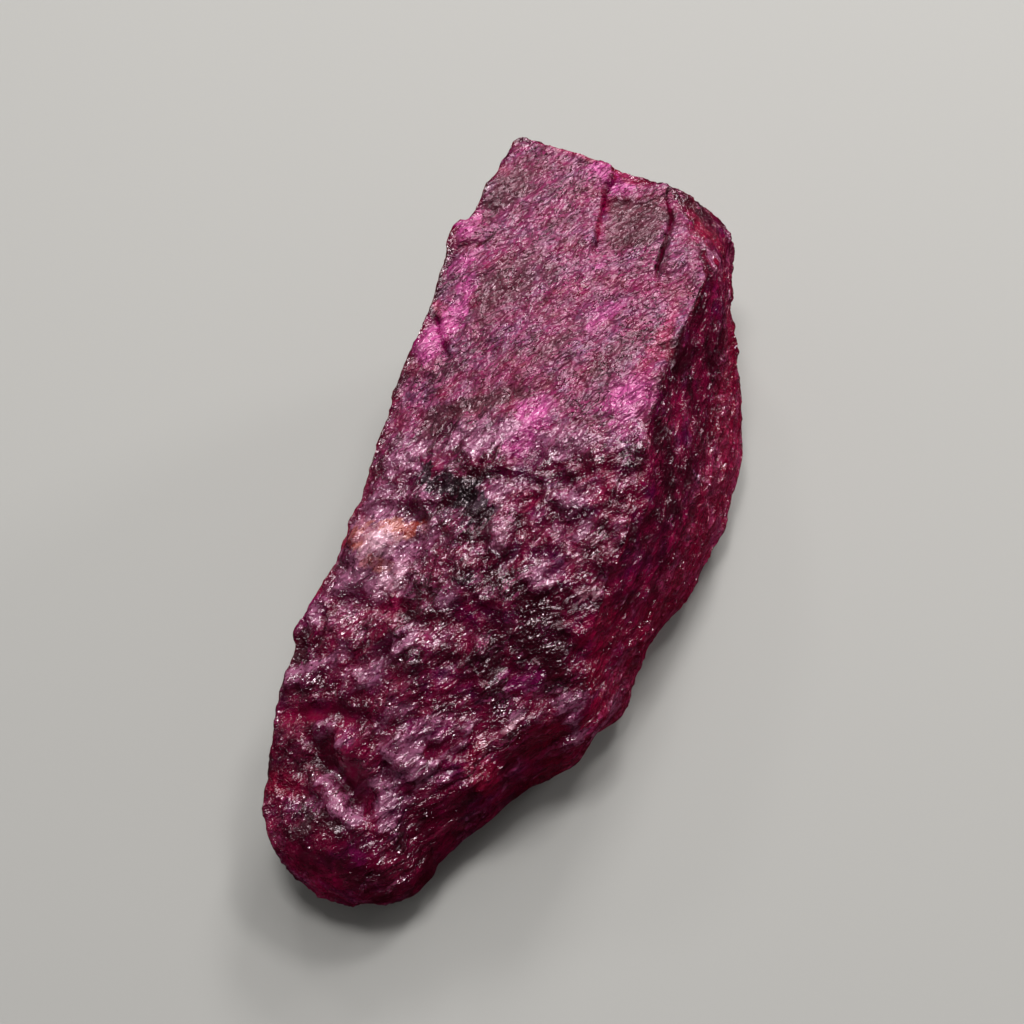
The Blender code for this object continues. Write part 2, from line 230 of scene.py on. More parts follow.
# %% [markdown]
# ### Which way is out
#
# Relief is raised square to the surface. At a sharp edge that direction jumps and the relief would fold
# over itself. Rounder edges would avoid it, but the stone's are sharp, so only the direction is blurred.

# %% Find the outward directions
OUTWARD_BLUR = 70


def unit(vectors):
    """The vectors at length 1."""
    return vectors / np.linalg.norm(vectors, axis=-1, keepdims=True)


def blurred(field, passes):
    """The field with each value replaced, this many times, by (before + 2 * itself + after) / 4, both
    ways of the grid: round the stone the grid is closed, and lengthwise it ends."""
    for _ in range(passes):
        field = 0.5 * field + 0.25 * (np.roll(field, 1, axis=1) + np.roll(field, -1, axis=1))
        ends = np.concatenate([field[:1], field, field[-1:]])
        field = 0.5 * field + 0.25 * (ends[:-2] + ends[2:])
    return field


def outward(points, passes):
    """The cross product of the grid's two directions, blurred and at length 1."""
    along = np.gradient(points, axis=0)
    round_it = np.roll(points, -1, axis=1) - np.roll(points, 1, axis=1)
    away = np.cross(round_it, along)
    away[0] = away[1].mean(axis=0)
    away[-1] = away[-2].mean(axis=0)
    return unit(blurred(unit(away), passes))


away = outward(plain_body, OUTWARD_BLUR)
print("mean outward direction:", away.mean(axis=(0, 1)).round(3))

# %% [markdown]
# ## The broken surface
#
# Where corundum breaks it leaves hackly steps: small tilted facets with sharp furrows between them, at
# every size from half a centimetre down to the grain. A sculpt could imitate it stroke by stroke. Here
# chance does it, in the same way each run: space is filled with cells, and each draws its own numbers.

# %% Chance without a pattern
def chance(cells, salt):
    """A number from 0 to 1 for each whole-numbered cell: its coordinates are multiplied by large odd
    numbers, and the bits are folded over each other until no pattern is left."""
    mixed = cells[..., 0] * 374761393 + cells[..., 1] * 668265263 + cells[..., 2] * 1440662683
    mixed = (mixed + salt * 1274126177) & 0xFFFFFFFF
    mixed = ((mixed ^ (mixed >> 13)) * 1274126177) & 0xFFFFFFFF
    mixed = ((mixed ^ (mixed >> 15)) * 668265263) & 0xFFFFFFFF
    return (mixed ^ (mixed >> 16)) / 4294967296.0


def three_chances(cells, salt):
    """Three such numbers for each cell."""
    return np.stack([chance(cells, 3 * salt + axis) for axis in range(3)], axis=-1)


def swell(points, size, salt):
    """Smooth noise from -1 to 1: chance at the corners of cubes of this size, eased between them."""
    cell = np.floor(points / size).astype(np.int64)
    within = ease(0.0, 1.0, points / size - cell)
    total = np.zeros(points.shape[:-1])
    for corner in product((0, 1), repeat=3):
        share = np.prod(np.where(corner, within, 1.0 - within), axis=-1)
        total += share * chance(cell + np.array(corner), salt)
    return 2.0 * total - 1.0


# %% [markdown]
# ### Heaps of blocks
#
# The biggest steps of the break are blocks of a few millimetres, part buried in each other. Real boxes
# would need joining. A height that follows the highest block has the same flat tops and sharp furrows.

# %% Heap the blocks
BLOCK_AXES = ((0.52, 0.80, 0.30), (-0.78, 0.30, 0.55), (0.35, -0.52, 0.78))
BLOCK_TURN = 0.9
BLOCK_SCATTER = 0.8
BLOCK_RISE = 0.6
BLOCK_STEEPNESS = 2.0


def block_heap(points, size, salt):
    """Heights of a heap of blocks, about -1 to 1: max over the blocks of top - 2 * reach, where reach is
    the biggest distance from the block's middle along its three axes, in units of the size."""
    cell = np.floor(points / size).astype(np.int64)
    axes = np.array(BLOCK_AXES)
    highest = np.full(points.shape[:-1], -np.inf)
    for neighbour in product((-1, 0, 1), repeat=3):
        block = cell + np.array(neighbour)
        middle = block + 0.5 + BLOCK_SCATTER * (three_chances(block, salt) - 0.5)
        from_middle = points / size - middle
        turn = BLOCK_TURN * (three_chances(block, salt + 100) - 0.5)
        faces = axes + np.cross(turn[..., None, :], axes)
        reach = np.abs((faces * from_middle[..., None, :]).sum(axis=-1)).max(axis=-1)
        top = BLOCK_RISE * chance(block, salt + 200)
        highest = np.maximum(highest, top - BLOCK_STEEPNESS * reach)
    return highest + BLOCK_RISE


# %% [markdown]
# ### The crystal's grain
#
# All over the stone the finest steps run one way, from lower left to upper right as it is looked at.
# That is the crystal's own direction, and it doesn't follow the lumps. Stretching every facet by hand would
# be endless, so facets and striations are worked out in coordinates turned to the grain and squeezed across.

# %% Turn points to the grain
GRAIN_TURN = np.radians(58.0)
GRAIN_AXES = np.array((
    (np.cos(GRAIN_TURN), np.sin(GRAIN_TURN), 0.0),
    (-np.sin(GRAIN_TURN), np.cos(GRAIN_TURN), 0),
    (0, 0, 1),
))


def in_grain(points, length, width):
    """Each point as (along the grain / length, across it / width, up / width)."""
    return points @ GRAIN_AXES.T / np.array((length, width, width))


def out_of_grain(points, length, width):
    """The other way round: from the grain's coordinates back to millimetres."""
    return points * np.array((length, width, width)) @ GRAIN_AXES


# %% [markdown]
# ### Facets
#
# Corundum breaks like flint, in shallow dishes with sharp crests between them, so each facet is a dish with
# a tilt of its own. Domes would be as easy to write, but a heap of domes looks like dough.

# %% Break it into facets
FACET_SCATTER = 0.9
FACET_LEAN = (-0.35, -0.15, 0.0)
FACET_TILT = 1.3
FACET_DISH = 0.7


def facets(points, salt):
    """Heights of dishes that each fill the cell around a scattered middle m: 0.7 * |p - m|^2 +
    (p - m) . tilt, where the tilt is a common lean plus three numbers drawn for the nearest middle.
    Gives that middle too, so that a whole facet can be told to stand higher or to be paler."""
    cell = np.floor(points).astype(np.int64)
    nearest = np.full(points.shape[:-1], np.inf)
    height = np.zeros(points.shape[:-1])
    middle = np.zeros(points.shape)
    for neighbour in product((-1, 0, 1), repeat=3):
        around_it = cell + np.array(neighbour)
        candidate = around_it + 0.5 + FACET_SCATTER * (three_chances(around_it, salt) - 0.5)
        from_middle = points - candidate
        distance = np.linalg.norm(from_middle, axis=-1)
        tilt = FACET_LEAN + FACET_TILT * (three_chances(around_it, salt + 50) - 0.5)
        dish = FACET_DISH * distance ** 2 + (from_middle * tilt).sum(axis=-1)
        height = np.where(distance < nearest, dish, height)
        middle = np.where((distance < nearest)[..., None], candidate, middle)
        nearest = np.minimum(nearest, distance)
    return height, middle


# %% [markdown]
# ### Named relief
#
# Chance can't place what the eye remembers of this stone: the scoop across the nose, the furrow down the
# middle, the ledges on the head, the lobe on the left edge. Each has a place in plan and a simple profile:
# lumps and hollows are ovals, the rest follows paths. An oval is asked about at the middle of each facet,
# so whole facets rise or sink. Asked about at each point, it would look like a pebble.

# %% Lumps, hollows, furrows, ribs and ledges
# x, y, half length, half width, turn from +X in degrees, height.
LUMPS = (
    (-9, 7.2, 1.9, 1.2, 80, 0.4),  # smooth lobe on the left edge
    (-9.9, 16, 2, 0.9, 82, 0.4),  # step of the left edge
    (6.3, 19, 2.4, 0.9, 78, 0.3),  # strip beside the right corner of the head
    (-4.9, -4.3, 1.4, 0.9, 20, 0.35),  # the middle of the stone
    (4.9, -2.4, 1.6, 0.9, 45, 0.4), (1, -5.8, 1.2, 1, 50, 0.4), (-7.2, -8.2, 2.2, 1.8, 40, 0.5),
    (4.8, -7.4, 1.6, 0.9, 50, 0.4), (-8, -11, 1.7, 1.2, 20, 0.5), (0.2, -10.6, 1.3, 0.8, 30, 0.5),
    (2.6, -12.6, 1.8, 1.1, 58, 0.4),
    (10, -13.2, 3, 1.8, 75, 0.7),  # shoulder where the right side turns in to the nose
    (9.3, -15.3, 1.2, 0.9, 50, 0.3),
    (-9.5, -14, 1.6, 1.2, 75, 0.5),  # the left of the nose
    (-2.9, -14.5, 1.1, 0.6, 30, 0.4), (-7.2, -16.4, 1.5, 1, 55, 0.35), (-4.4, -16.8, 1.8, 1.1, 50, 0.4),
    (-8.8, -17.9, 1.1, 0.8, 10, 0.5), (-8, -24.5, 1.6, 1.2, 70, 0.5), (-6.7, -21, 0.8, 0.7, 0, 0.4),
    (-4.8, -21.4, 1.2, 0.8, -25, 0.65),  # lip above the scoop
    (-3.1, -20.6, 0.8, 0.7, 0, 0.4),
    (0.1, -20.7, 2.2, 1.5, 5, 0.8),  # broad lump on top of the nose
    (0.5, -18.5, 1.6, 1.1, 10, 0.65),  # round lump above it
    (2.9, -18.1, 1, 0.8, 30, 0.5), (4.6, -19.6, 1.5, 1.1, 30, 0.55), (-0.7, -23.8, 1.5, 1.1, -10, 0.45),
)
LUMP_STEEPNESS = 2.2
LUMP_LEAN = 0.6
STEP_BLUR = 2
HOLLOWS = (
    (-4.6, -15, 1.7, 0.9, 10, 0.8), (-1.7, -4.9, 1.5, 0.9, -30, 0.3), (-5, -3.2, 1.1, 0.6, -35, 0.3),
    (0.3, 22.3, 0.7, 0.3, 20, 0.35),  # pit in the corner of the sunken panel on the head
    (-0.4, -15.8, 1.4, 0.8, 50, 0.5), (7, -14.5, 1.5, 1, 40, 0.5),
)

# Where the break is smooth as glass, and how much so.
SMOOTH_PLACES = (
    (-4.1, -22.9, 2.8, 1.3, -33, 1), (-2.6, -23.9, 1.5, 1, -62, 1), (-6.4, -19.7, 2.8, 0.7, 8, 0.8),
    (-3.9, -24.8, 2.6, 0.7, -30, 0.7), (0.1, -20.7, 2.2, 1.3, 5, 0.5), (-2.5, -28, 4.5, 1.8, 0, 0.5),
    (-8.8, -17.9, 1.2, 0.9, 10, 0.7), (-9, 7.2, 2, 1.2, 80, 0.6), (0.5, 3.2, 2, 1.2, 80, 0.4),
    (9.3, -15.3, 1.4, 0.9, 50, 0.5), (-4.8, -21.4, 1.1, 0.7, -25, 0.6),
)

# The notch and the cleft of the left edge, where furrows are dark as well.
NOTCH = ((-8.5, 15.5), (-7.5, 16.8))
CLEFT = ((-9.6, 9.3), (-8.6, 8), (-7.4, 6.5))

# A path of (x, y) points, its half width and its depth.
FURROWS = (
    (((3.3, 24.3), (4.2, 22), (4.7, 19), (5, 16.3)), 0.32, 0.35),
    (NOTCH, 0.2, 0.25),
    (CLEFT, 0.35, 0.35),
    (((-7.5, 0.8), (-2.8, 3.3), (0.8, 5.6)), 0.9, 0.2),
    (((6.5, 1), (3, -1.8), (2.2, -3.2), (2.4, -5.5), (2.3, -7.2), (1.7, -9.3)), 0.8, 0.35),
    (((-0.9, -5.6), (0.2, -6.6), (1.2, -8.2)), 0.6, 0.25),
    (((-8, -12.6), (-4.5, -12.3), (-1.5, -12.7)), 0.9, 0.4),
    (((-8.6, -20.2), (-6.4, -19.6), (-3.9, -19.4)), 0.8, 0.5),
    (((-1.7, -21.3), (-0.9, -22.5)), 0.4, 0.5),
    (((1, -19.3), (2.2, -19.4), (3.6, -19)), 0.5, 0.5),
)

# The scoop across the nose: its deepest line, how wide its upper and its lower wall are, and its depth.
SCOOP_LINE = ((-6.3, -22.4), (-5.3, -23.3), (-4.2, -23.7), (-2.7, -24.8))
SCOOP_UPPER_WALL, SCOOP_LOWER_WALL, SCOOP_DEPTH = 1.9, 0.6, 1.1

# A path, its half width and its height.
RIBS = (
    (((-5.7, -23.9), (-4.3, -24.7), (-2.6, -25.6), (-1.8, -25.9)), 0.8, 0.5),  # pale rib below the scoop
    (((2.5, -21.4), (4.1, -19.5)), 0.35, 0.3),
)

# A path, the drop on its right side, how wide the drop is, how far that takes to fade out, and the y
# from which on the drop grows to its full size.
HEAD_FACE_END = ((-12.0, -3.5), (-8.5, -1.2), (-4.0, -0.2), (0.5, 1.0), (3.0, 1.6), (5.5, 3.2), (9.0, 4.4))
LEDGES = (
    (((-0.3, 16.5), (-0.7, 19.8), (-1.3, 22.7), (-1.2, 24.4)), 0.6, 0.35, 4.6, 15),
    (((-0.4, 22.4), (1, 23), (3.2, 24.2)), 0.22, 0.6, 3, 15),
    (HEAD_FACE_END, 0.12, 3, 6, -12),
)
LEDGE_GROWTH = 4.0
LEDGE_FADES_FROM = 0.3
LEDGE_RAGGEDNESS = 0.35
PATH_RAGGEDNESS = 0.35
RIB_EDGE = 0.6

# Size, share and number of the noises that make outlines ragged.
RAGGED_NOISES = ((2.2, 1.0, 41), (0.8, 0.4, 43))

# How far the outward direction points up where relief, ledges and colours begin, and where they are full.
RELIEF_UP, LEDGE_UP, COLOUR_UP = (-0.1, 0.3), (0.5, 0.8), (0.0, 0.4)
PATCH_FADE = (-0.2, 0.9)


def oval(points, x, y, half_length, half_width, turn):
    """Squared distance in plan from the middle of an oval, (u / a)^2 + (v / b)^2, which is 1 on its rim."""
    turn = np.radians(turn)
    right = points[..., 0] - x
    ahead = points[..., 1] - y
    lengthwise = right * np.cos(turn) + ahead * np.sin(turn)
    across = ahead * np.cos(turn) - right * np.sin(turn)
    return (lengthwise / half_length) ** 2 + (across / half_width) ** 2


def path_distance(points, path):
    """Distance in plan from each point to a path of straight pieces, more than 0 on the path's left."""
    nearest = np.full(points.shape[:-1], np.inf)
    for start, end in zip(path[:-1], path[1:]):
        start, end = np.array(start), np.array(end)
        run = end - start
        from_start = points[..., :2] - start
        share = np.clip((from_start @ run) / (run @ run), 0.0, 1.0)
        gap = np.linalg.norm(from_start - share[..., None] * run, axis=-1)
        side = np.sign(run[0] * from_start[..., 1] - run[1] * from_start[..., 0])
        nearest = np.where(gap < np.abs(nearest), gap * side, nearest)
    return nearest


def ragged(points, amount):
    """The points shifted in plan by noise of two sizes: what is drawn at them gets a ragged outline."""
    flat = np.zeros(points.shape[:-1])
    for size, share, salt in RAGGED_NOISES:
        shift = np.stack([swell(points, size, salt), swell(points, size, salt + 1), flat], axis=-1)
        points = points + amount * share * shift
    return points


def upper_side(away):
    """1 where the surface faces up, 0 where it faces down."""
    return ease(*COLOUR_UP, away[..., 2])


def patches(points, away, ovals, raggedness):
    """The strongest at each point of strength * (1 - r^2), eased, and only on the upper side. Patches
    that are asked about at the facets' middles cover whole facets."""
    strongest = np.zeros(points.shape[:-1])
    shaken = ragged(points, raggedness)
    for *place, strength in ovals:
        strongest = np.maximum(strongest, strength * ease(*PATCH_FADE, 1.0 - oval(shaken, *place)))
    return strongest * upper_side(away)


def profile(points, path, half_width):
    """1 - d / w at the distance d from a path, and 0 from the half width w on."""
    return np.clip(1.0 - np.abs(path_distance(points, path)) / half_width, 0.0, 1.0)


def named_relief(points, facet_middles, away):
    """Height of all that has a place of its own on the upper side: 2.2 * (1 - r) across a lump, cut off
    flat at 1 and leaning down towards the head, 1 - r^2 across a hollow, and 1 - d / w across a path. The
    scoop has two walls of different widths w."""
    height = np.zeros(points.shape[:-1])
    shaken = ragged(points, PATH_RAGGEDNESS)
    for *place, rise in LUMPS:
        lean = 1.0 - LUMP_LEAN * (shaken[..., 1] - place[1]) / place[2]
        inwards = 1.0 - np.sqrt(oval(facet_middles, *place))
        height += rise * lean * np.clip(LUMP_STEEPNESS * inwards, 0.0, 1.0)
    for *place, depth in HOLLOWS:
        height -= depth * np.clip(1.0 - oval(facet_middles, *place), 0.0, 1.0)
    height = blurred(height, STEP_BLUR)
    for path, half_width, depth in FURROWS:
        height -= depth * profile(shaken, path, half_width)
    above = path_distance(shaken, SCOOP_LINE)
    wall = np.where(above > 0.0, above / SCOOP_UPPER_WALL, -above / SCOOP_LOWER_WALL)
    height -= SCOOP_DEPTH * np.clip(1.0 - wall, 0.0, 1.0)
    for path, half_width, rise in RIBS:
        height += rise * ease(0.0, RIB_EDGE, profile(shaken, path, half_width))
    height *= ease(*RELIEF_UP, away[..., 2])
    on_top = ease(*LEDGE_UP, away[..., 2])
    for path, drop, width, fade, grows_from in LEDGES:
        beyond = np.maximum(-path_distance(ragged(points, LEDGE_RAGGEDNESS), path), 0.0)
        step = ease(0.0, width, beyond) * (1.0 - ease(LEDGE_FADES_FROM * fade, fade, beyond))
        height -= drop * step * on_top * ease(grows_from, grows_from + LEDGE_GROWTH, points[..., 1])
    return height


# %% [markdown]
# ### Calm and broken parts
#
# The flat top of the head was only etched, the steep band below the right ridge is smooth, and the sides
# are calmer than the top. The rest is hackly, most of all the strip below the band. Meshes of their own
# would show seams. Masks from 0 to 1 fade into each other, and relief and colours both read them.

# %% Masks of the calm parts
LEFT_CALM = 0.75
RIGHT_CALM = 0.55
WALL_BREAKS = 0.95
RIDGE_NUMBER = EDGES.index(RIDGE)
FLANK_NUMBER = EDGES.index(FLANK)

# From where to where the masks rise: in millimetres from the end of the face or along the stone, in parts of
# the way from one edge to the next, or by the outward direction.
FACE_START, FACE_UP = (-2.6, 3.2), (0.6, 0.9)
RIGHT_SIDE, UNDERCUT, SIDE_STEEPNESS = (0.2, 0.6), (0.1, -0.25), (0.3, 0.8)
BAND_TOP, BAND_FOOT, BAND_START = (0.0, 0.1), (-0.3, 0.1), (-12.0, -2.0)
STRIP_TOP, STRIP_FOOT, STRIP_START = (-0.4, 0.0), (1.0, 1.4), (-17.0, -12.0)


def head_face_mask(points, away):
    """1 on the flat top of the head, fading over the line where it ends."""
    face_end = np.interp(points[..., 0], *np.array(HEAD_FACE_END).T)
    return ease(*FACE_START, points[..., 1] - face_end) * ease(*FACE_UP, away[..., 2])


def side_calm(away):
    """How calm the steep sides are, whose outlines are only slightly uneven: less so on the right, and
    least on the undercut wall."""
    steepness = np.hypot(away[..., 0], away[..., 1])
    calm = LEFT_CALM + (RIGHT_CALM - LEFT_CALM) * ease(*RIGHT_SIDE, away[..., 0])
    calm = calm * (1.0 - WALL_BREAKS * ease(*UNDERCUT, away[..., 2]))
    return calm * ease(*SIDE_STEEPNESS, steepness)


def lengthwise_mask(points, from_top, top, from_foot, foot, start):
    """1 between two lines along the stone, towards the head from where it starts."""
    across = ease(*top, from_top) * (1.0 - ease(*foot, from_foot))
    return across * ease(*start, points[..., 1])


head_face = head_face_mask(plain_body, away)
calm_sides = 1.0 - side_calm(away)

# The smooth steep band below the ridge, and the lumpy strip below the band.
past_ridge, past_flank = around - RIDGE_NUMBER, around - FLANK_NUMBER
band = lengthwise_mask(plain_body, past_ridge, BAND_TOP, past_flank, BAND_FOOT, BAND_START)
strip = lengthwise_mask(plain_body, past_flank, STRIP_TOP, past_flank, STRIP_FOOT, STRIP_START)
print("share of the grid on the head's face:", head_face.mean().round(3), "band:", band.mean().round(3))

# %% [markdown]
# ### All the relief together
#
# The swell is the solid's. The two heaps have its blocks, but lower ones, because facets of three sizes
# come on top. Those and the striations are only here, follow the grain, and are as fine as the grid can
# show. Modifiers could raise all this too, but then the colours couldn't use the same numbers.

# %% Sizes of the relief
HEAD_CALM = 0.88
BAND_CALM = 0.7
FOOT_CALM = 0.8
NOSE_CALM = 0.4
SMOOTH_CALM = 0.75
RIM_WEAR = 0.75
STRIP_BREAKS = 0.25

# The chips along the ridge: their length, depth and number, where the noise makes one, and how far from the
# ridge they reach, in parts of the way to the next edge.
CHIP_LENGTH, CHIP_DEPTH, CHIP_NUMBER, CHIP_NOISE, CHIP_REACH = 1.5, 0.45, 61, (-0.2, 0.5), 0.22

# Where the left edge steps in towards the head, over what length, where that fades out, and how deep.
EDGE_STEP, EDGE_STEP_WIDTH, EDGE_STEP_FADE, EDGE_STEP_DEPTH = 17.3, 0.35, (18.4, 21.0), 0.36

# Size, height for each millimetre of size, and a number that tells the heaps apart. The smaller blocks are
# pressed in, not raised.
BLOCK_HEAPS = ((5.6, 0.12, 11), (2.9, -0.06, 12))
SWELL = (12.0, 0.45, 5)

# Length along the grain, width across it, height, number, and how much of it the head's face keeps.
FACETS = (
    (4.2, 2.5, 0.60, 21, 0.06),
    (1.7, 0.8, 0.32, 22, 0.14),
    (0.9, 0.45, 0.18, 23, 0.3),
)
# The same without the last.
STRIATIONS = (
    (9, 1.3, 0.09, 31),
    (3.2, 0.7, 0.07, 32),
    (1.3, 0.36, 0.045, 33),
)
HEAD_STRIATIONS = 0.5
RAGGEDNESS = 0.3
LUCK_NUMBER = 70
NOSE_TIP = (-14.0, -19.0)
LEFT_EDGE_REACH, RIM_REACH, FACING_DOWN = (0.1, 0.45), (0.0, 0.7), (0.5, 0.95)

# %% Raise the relief
smooth = patches(plain_body, away, SMOOTH_PLACES, RAGGEDNESS)
nose = ease(*NOSE_TIP, plain_body[..., 1])
calm_sides = calm_sides * (1.0 - NOSE_CALM * nose)
rough = (1.0 - HEAD_CALM * head_face - BAND_CALM * band) * calm_sides
coarse = np.zeros(plain_body.shape[:2])
for size, rise, salt in BLOCK_HEAPS:
    coarse += rise * size * block_heap(plain_body, size, salt) * rough
coarse += SWELL[1] * swell(plain_body, SWELL[0], SWELL[2])

fine = np.zeros(plain_body.shape[:2])
shaken = ragged(plain_body, RAGGEDNESS)
facet_middles, facet_lucks = [], []
for length, width, rise, salt, on_head in FACETS:
    share = (1.0 - (1.0 - on_head) * head_face - BAND_CALM * band) * (1.0 - SMOOTH_CALM * smooth)
    share = share * calm_sides * (1.0 + STRIP_BREAKS * strip)
    height, middle = facets(in_grain(shaken, length, width), salt)
    fine += rise * share * height
    facet_middles.append(out_of_grain(middle, length, width))
    facet_lucks.append(chance(np.floor(middle).astype(np.int64), salt + LUCK_NUMBER))
for length, width, rise, salt in STRIATIONS:
    crest = 1.0 - 2.0 * np.abs(swell(in_grain(shaken, length, width), 1.0, salt))
    fine += rise * crest * (1.0 - HEAD_STRIATIONS * head_face)

at_ridge = 1.0 - ease(0.0, CHIP_REACH, np.abs(around - RIDGE_NUMBER))
fine -= CHIP_DEPTH * at_ridge * ease(*CHIP_NOISE, swell(plain_body, CHIP_LENGTH, CHIP_NUMBER))

at_left_edge = 1.0 - ease(*LEFT_EDGE_REACH, np.minimum(around, len(EDGES) - around))
stepped = ease(EDGE_STEP, EDGE_STEP + EDGE_STEP_WIDTH, plain_body[..., 1])
stepped = stepped * (1.0 - ease(*EDGE_STEP_FADE, plain_body[..., 1]))
fine -= EDGE_STEP_DEPTH * at_left_edge * stepped

foot = 1.0 - FOOT_CALM * ease(*FACING_DOWN, -away[..., 2])
named = named_relief(plain_body, facet_middles[1], away)
worn = 1.0 - RIM_WEAR * (1.0 - ease(*RIM_REACH, np.abs(around - EDGES.index(RIGHT_RIM))))
surface = plain_body + away * ((coarse + fine * worn) * foot + named)[..., None]
surface[[0, -1]] = surface[[0, -1]].mean(axis=1, keepdims=True)
surface[..., :2] -= BOX_MIDDLE
surface[..., 2] = np.maximum(surface[..., 2], 0.0)
print("skin from", surface.min(axis=(0, 1)).round(2), "to", surface.max(axis=(0, 1)).round(2), "mm")

# %% [markdown]
# ## From grid to mesh
#
# A mesh is a list of points and a list of faces. A remesh would close the stone too, but would lose the
# masks. So all rings but the first and the last give four-sided faces with the next ring, and each end
# closes on a single point with a fan of triangles.

# %% Make the mesh
def mesh_from_grid(name, grid, values):
    """A closed mesh from rings of points, with a named value at each point that materials can read."""
    rings, columns = grid.shape[0] - 2, grid.shape[1]
    points = np.concatenate([grid[0, :1], grid[1:-1].reshape(-1, 3), grid[-1, :1]]) * MM
    index = 1 + np.arange(rings * columns).reshape(rings, columns)
    beside = np.roll(index, -1, axis=1)
    quads = np.stack([index[:-1], beside[:-1], beside[1:], index[1:]], axis=-1).reshape(-1, 4)
    last = len(points) - 1
    first_fan = np.stack([np.zeros(columns, int), beside[0], index[0]], axis=-1)
    last_fan = np.stack([np.full(columns, last), index[-1], beside[-1]], axis=-1)
    mesh = bpy.data.meshes.new(name)
    mesh.from_pydata(points.tolist(), [], quads.tolist() + first_fan.tolist() + last_fan.tolist())
    for value_name, value in values.items():
        flat = np.concatenate([value[0, :1], value[1:-1].reshape(-1), value[-1, :1]])
        attribute = mesh.attributes.new(value_name, "FLOAT", "POINT")
        attribute.data.foreach_set("value", flat.astype(np.float32))
    mesh.shade_smooth()
    mesh.update()
    return mesh


# %% [markdown]
# ## Where the colours are
#
# Rough ruby isn't one red. Etched facets are pale and broken ones glassy and deep wine, but many pale
# patches lie where the soft light is mirrored and are partly a painted sheen, and many dark ones lie in
# recesses and cracks and are partly a painted shade. Thin edges are crimson, partly a painted glow, and
# clean patches are
# magenta. A few places are stained: graphite grey beside the furrow, a rusty spot on the left and two
# bleached spots. A recess on the head is brown, and two white spots are painted glints. A painted picture
# would fit one view. Ovals in plan stay on the stone, and noise breaks their outlines.

# %% Patches of colour
# x, y, half length, half width, turn from +X in degrees, strength.
# Etched pale facets. Most of these ovals lie where a facet mirrors the soft light, so their paleness is
# partly a painted sheen.
ETCHED_AND_SHEEN_PATCHES = (
    (7.8, 21.2, 2.6, 1.4, -45, 0.7),  # the broken corner of the head
    (-2.5, 0.6, 3, 1, 20, 0.8), (3.2, 1.2, 2.6, 1, 30, 0.8), (-7.6, -1.6, 2.2, 1.2, 40, 0.7),
    (-8.6, -4.9, 1.4, 0.9, 60, 0.6),
    (-4.9, -4.3, 1.5, 0.9, 20, 0.6), (-0.5, -3.7, 1, 0.8, 0, 0.6), (0.7, -2.6, 1.4, 1, 45, 0.5),
    (4.9, -2.4, 1.6, 0.9, 45, 0.7), (6, -4.3, 0.9, 0.5, 45, 0.7), (1, -5.8, 1.2, 1, 50, 0.5),
    (4.8, -7.4, 1.5, 0.9, 50, 0.6), (-6.8, -8.2, 2.6, 2, 40, 0.9), (-7.6, -5.2, 3, 2, 70, 0.9),
    (-5.8, -10, 3.2, 2.3, 50, 1), (-4, -7.4, 2.2, 1.2, 40, 0.5), (0.2, -10.7, 1.2, 0.7, 30, 0.9),
    (6.7, -10.9, 1, 0.6, 50, 0.6), (-8, -11, 1.8, 1.3, 20, 0.8),
    (-9.4, -13.9, 1.5, 1.2, 75, 0.8),  # the nose
    (-2.9, -14.5, 1.5, 1, 30, 1), (9.3, -15.3, 1.2, 0.7, 50, 0.6), (6.2, -16.4, 0.7, 0.4, 30, 1),
    (-7.2, -16.6, 1.5, 1, 55, 0.6), (-4.4, -16.8, 1.8, 1.1, 50, 0.6), (-8.8, -17.9, 1.1, 0.8, 10, 0.8),
    (2.9, -18.1, 1.2, 1, 30, 1), (0.5, -18.5, 1.5, 1.1, 10, 0.6), (-2.3, -19, 1.2, 0.5, 58, 0.7),
    (0.1, -20.7, 2.5, 1.7, 5, 1), (-6.7, -21, 0.7, 0.6, 0, 0.6), (-4.8, -21.4, 1, 0.6, -25, 1),
    (-0.7, -23.8, 1.6, 1.2, -10, 0.9), (-3.9, -24.8, 2.7, 0.8, -30, 1),
    (9.2, -13.9, 2.6, 0.7, 80, 0.9),  # the shoulder
)
# Glassy deep wine breaks. Most of these ovals lie in furrows, recesses and faces turned from the light, so
# their darkness is partly a painted shade.
GLASSY_AND_SHADE_PATCHES = (
    (6.4, 0.9, 1.5, 0.7, 60, 0.8), (2.3, -5, 2.8, 0.45, 85, 0.7), (3, -6.8, 1.2, 0.5, 60, 0.7),
    (5.6, -8.6, 1.8, 0.9, 30, 0.8), (8.2, -8.8, 2.2, 2.4, 0, 0.6), (1.7, -11, 1.3, 0.7, 30, 0.9),
    (-4.4, -12.4, 3.2, 0.7, 0, 0.8), (-4.6, -15, 1.8, 0.9, 10, 0.9), (-6.9, -17.7, 1.2, 0.4, -10, 0.7),
    (2.6, -19.3, 1.5, 0.4, 0, 0.8), (-6.4, -19.7, 2.7, 0.6, 8, 1), (-4.1, -22.9, 2.7, 1.15, -33, 1),
    (-2.6, -23.9, 1.3, 0.8, -62, 1), (-8.9, -22.8, 2.6, 1.6, 80, 0.5), (3, -24, 3, 1.6, 60, 0.9),
    (-2.5, -28, 4.5, 2, 0, 0.8),
)
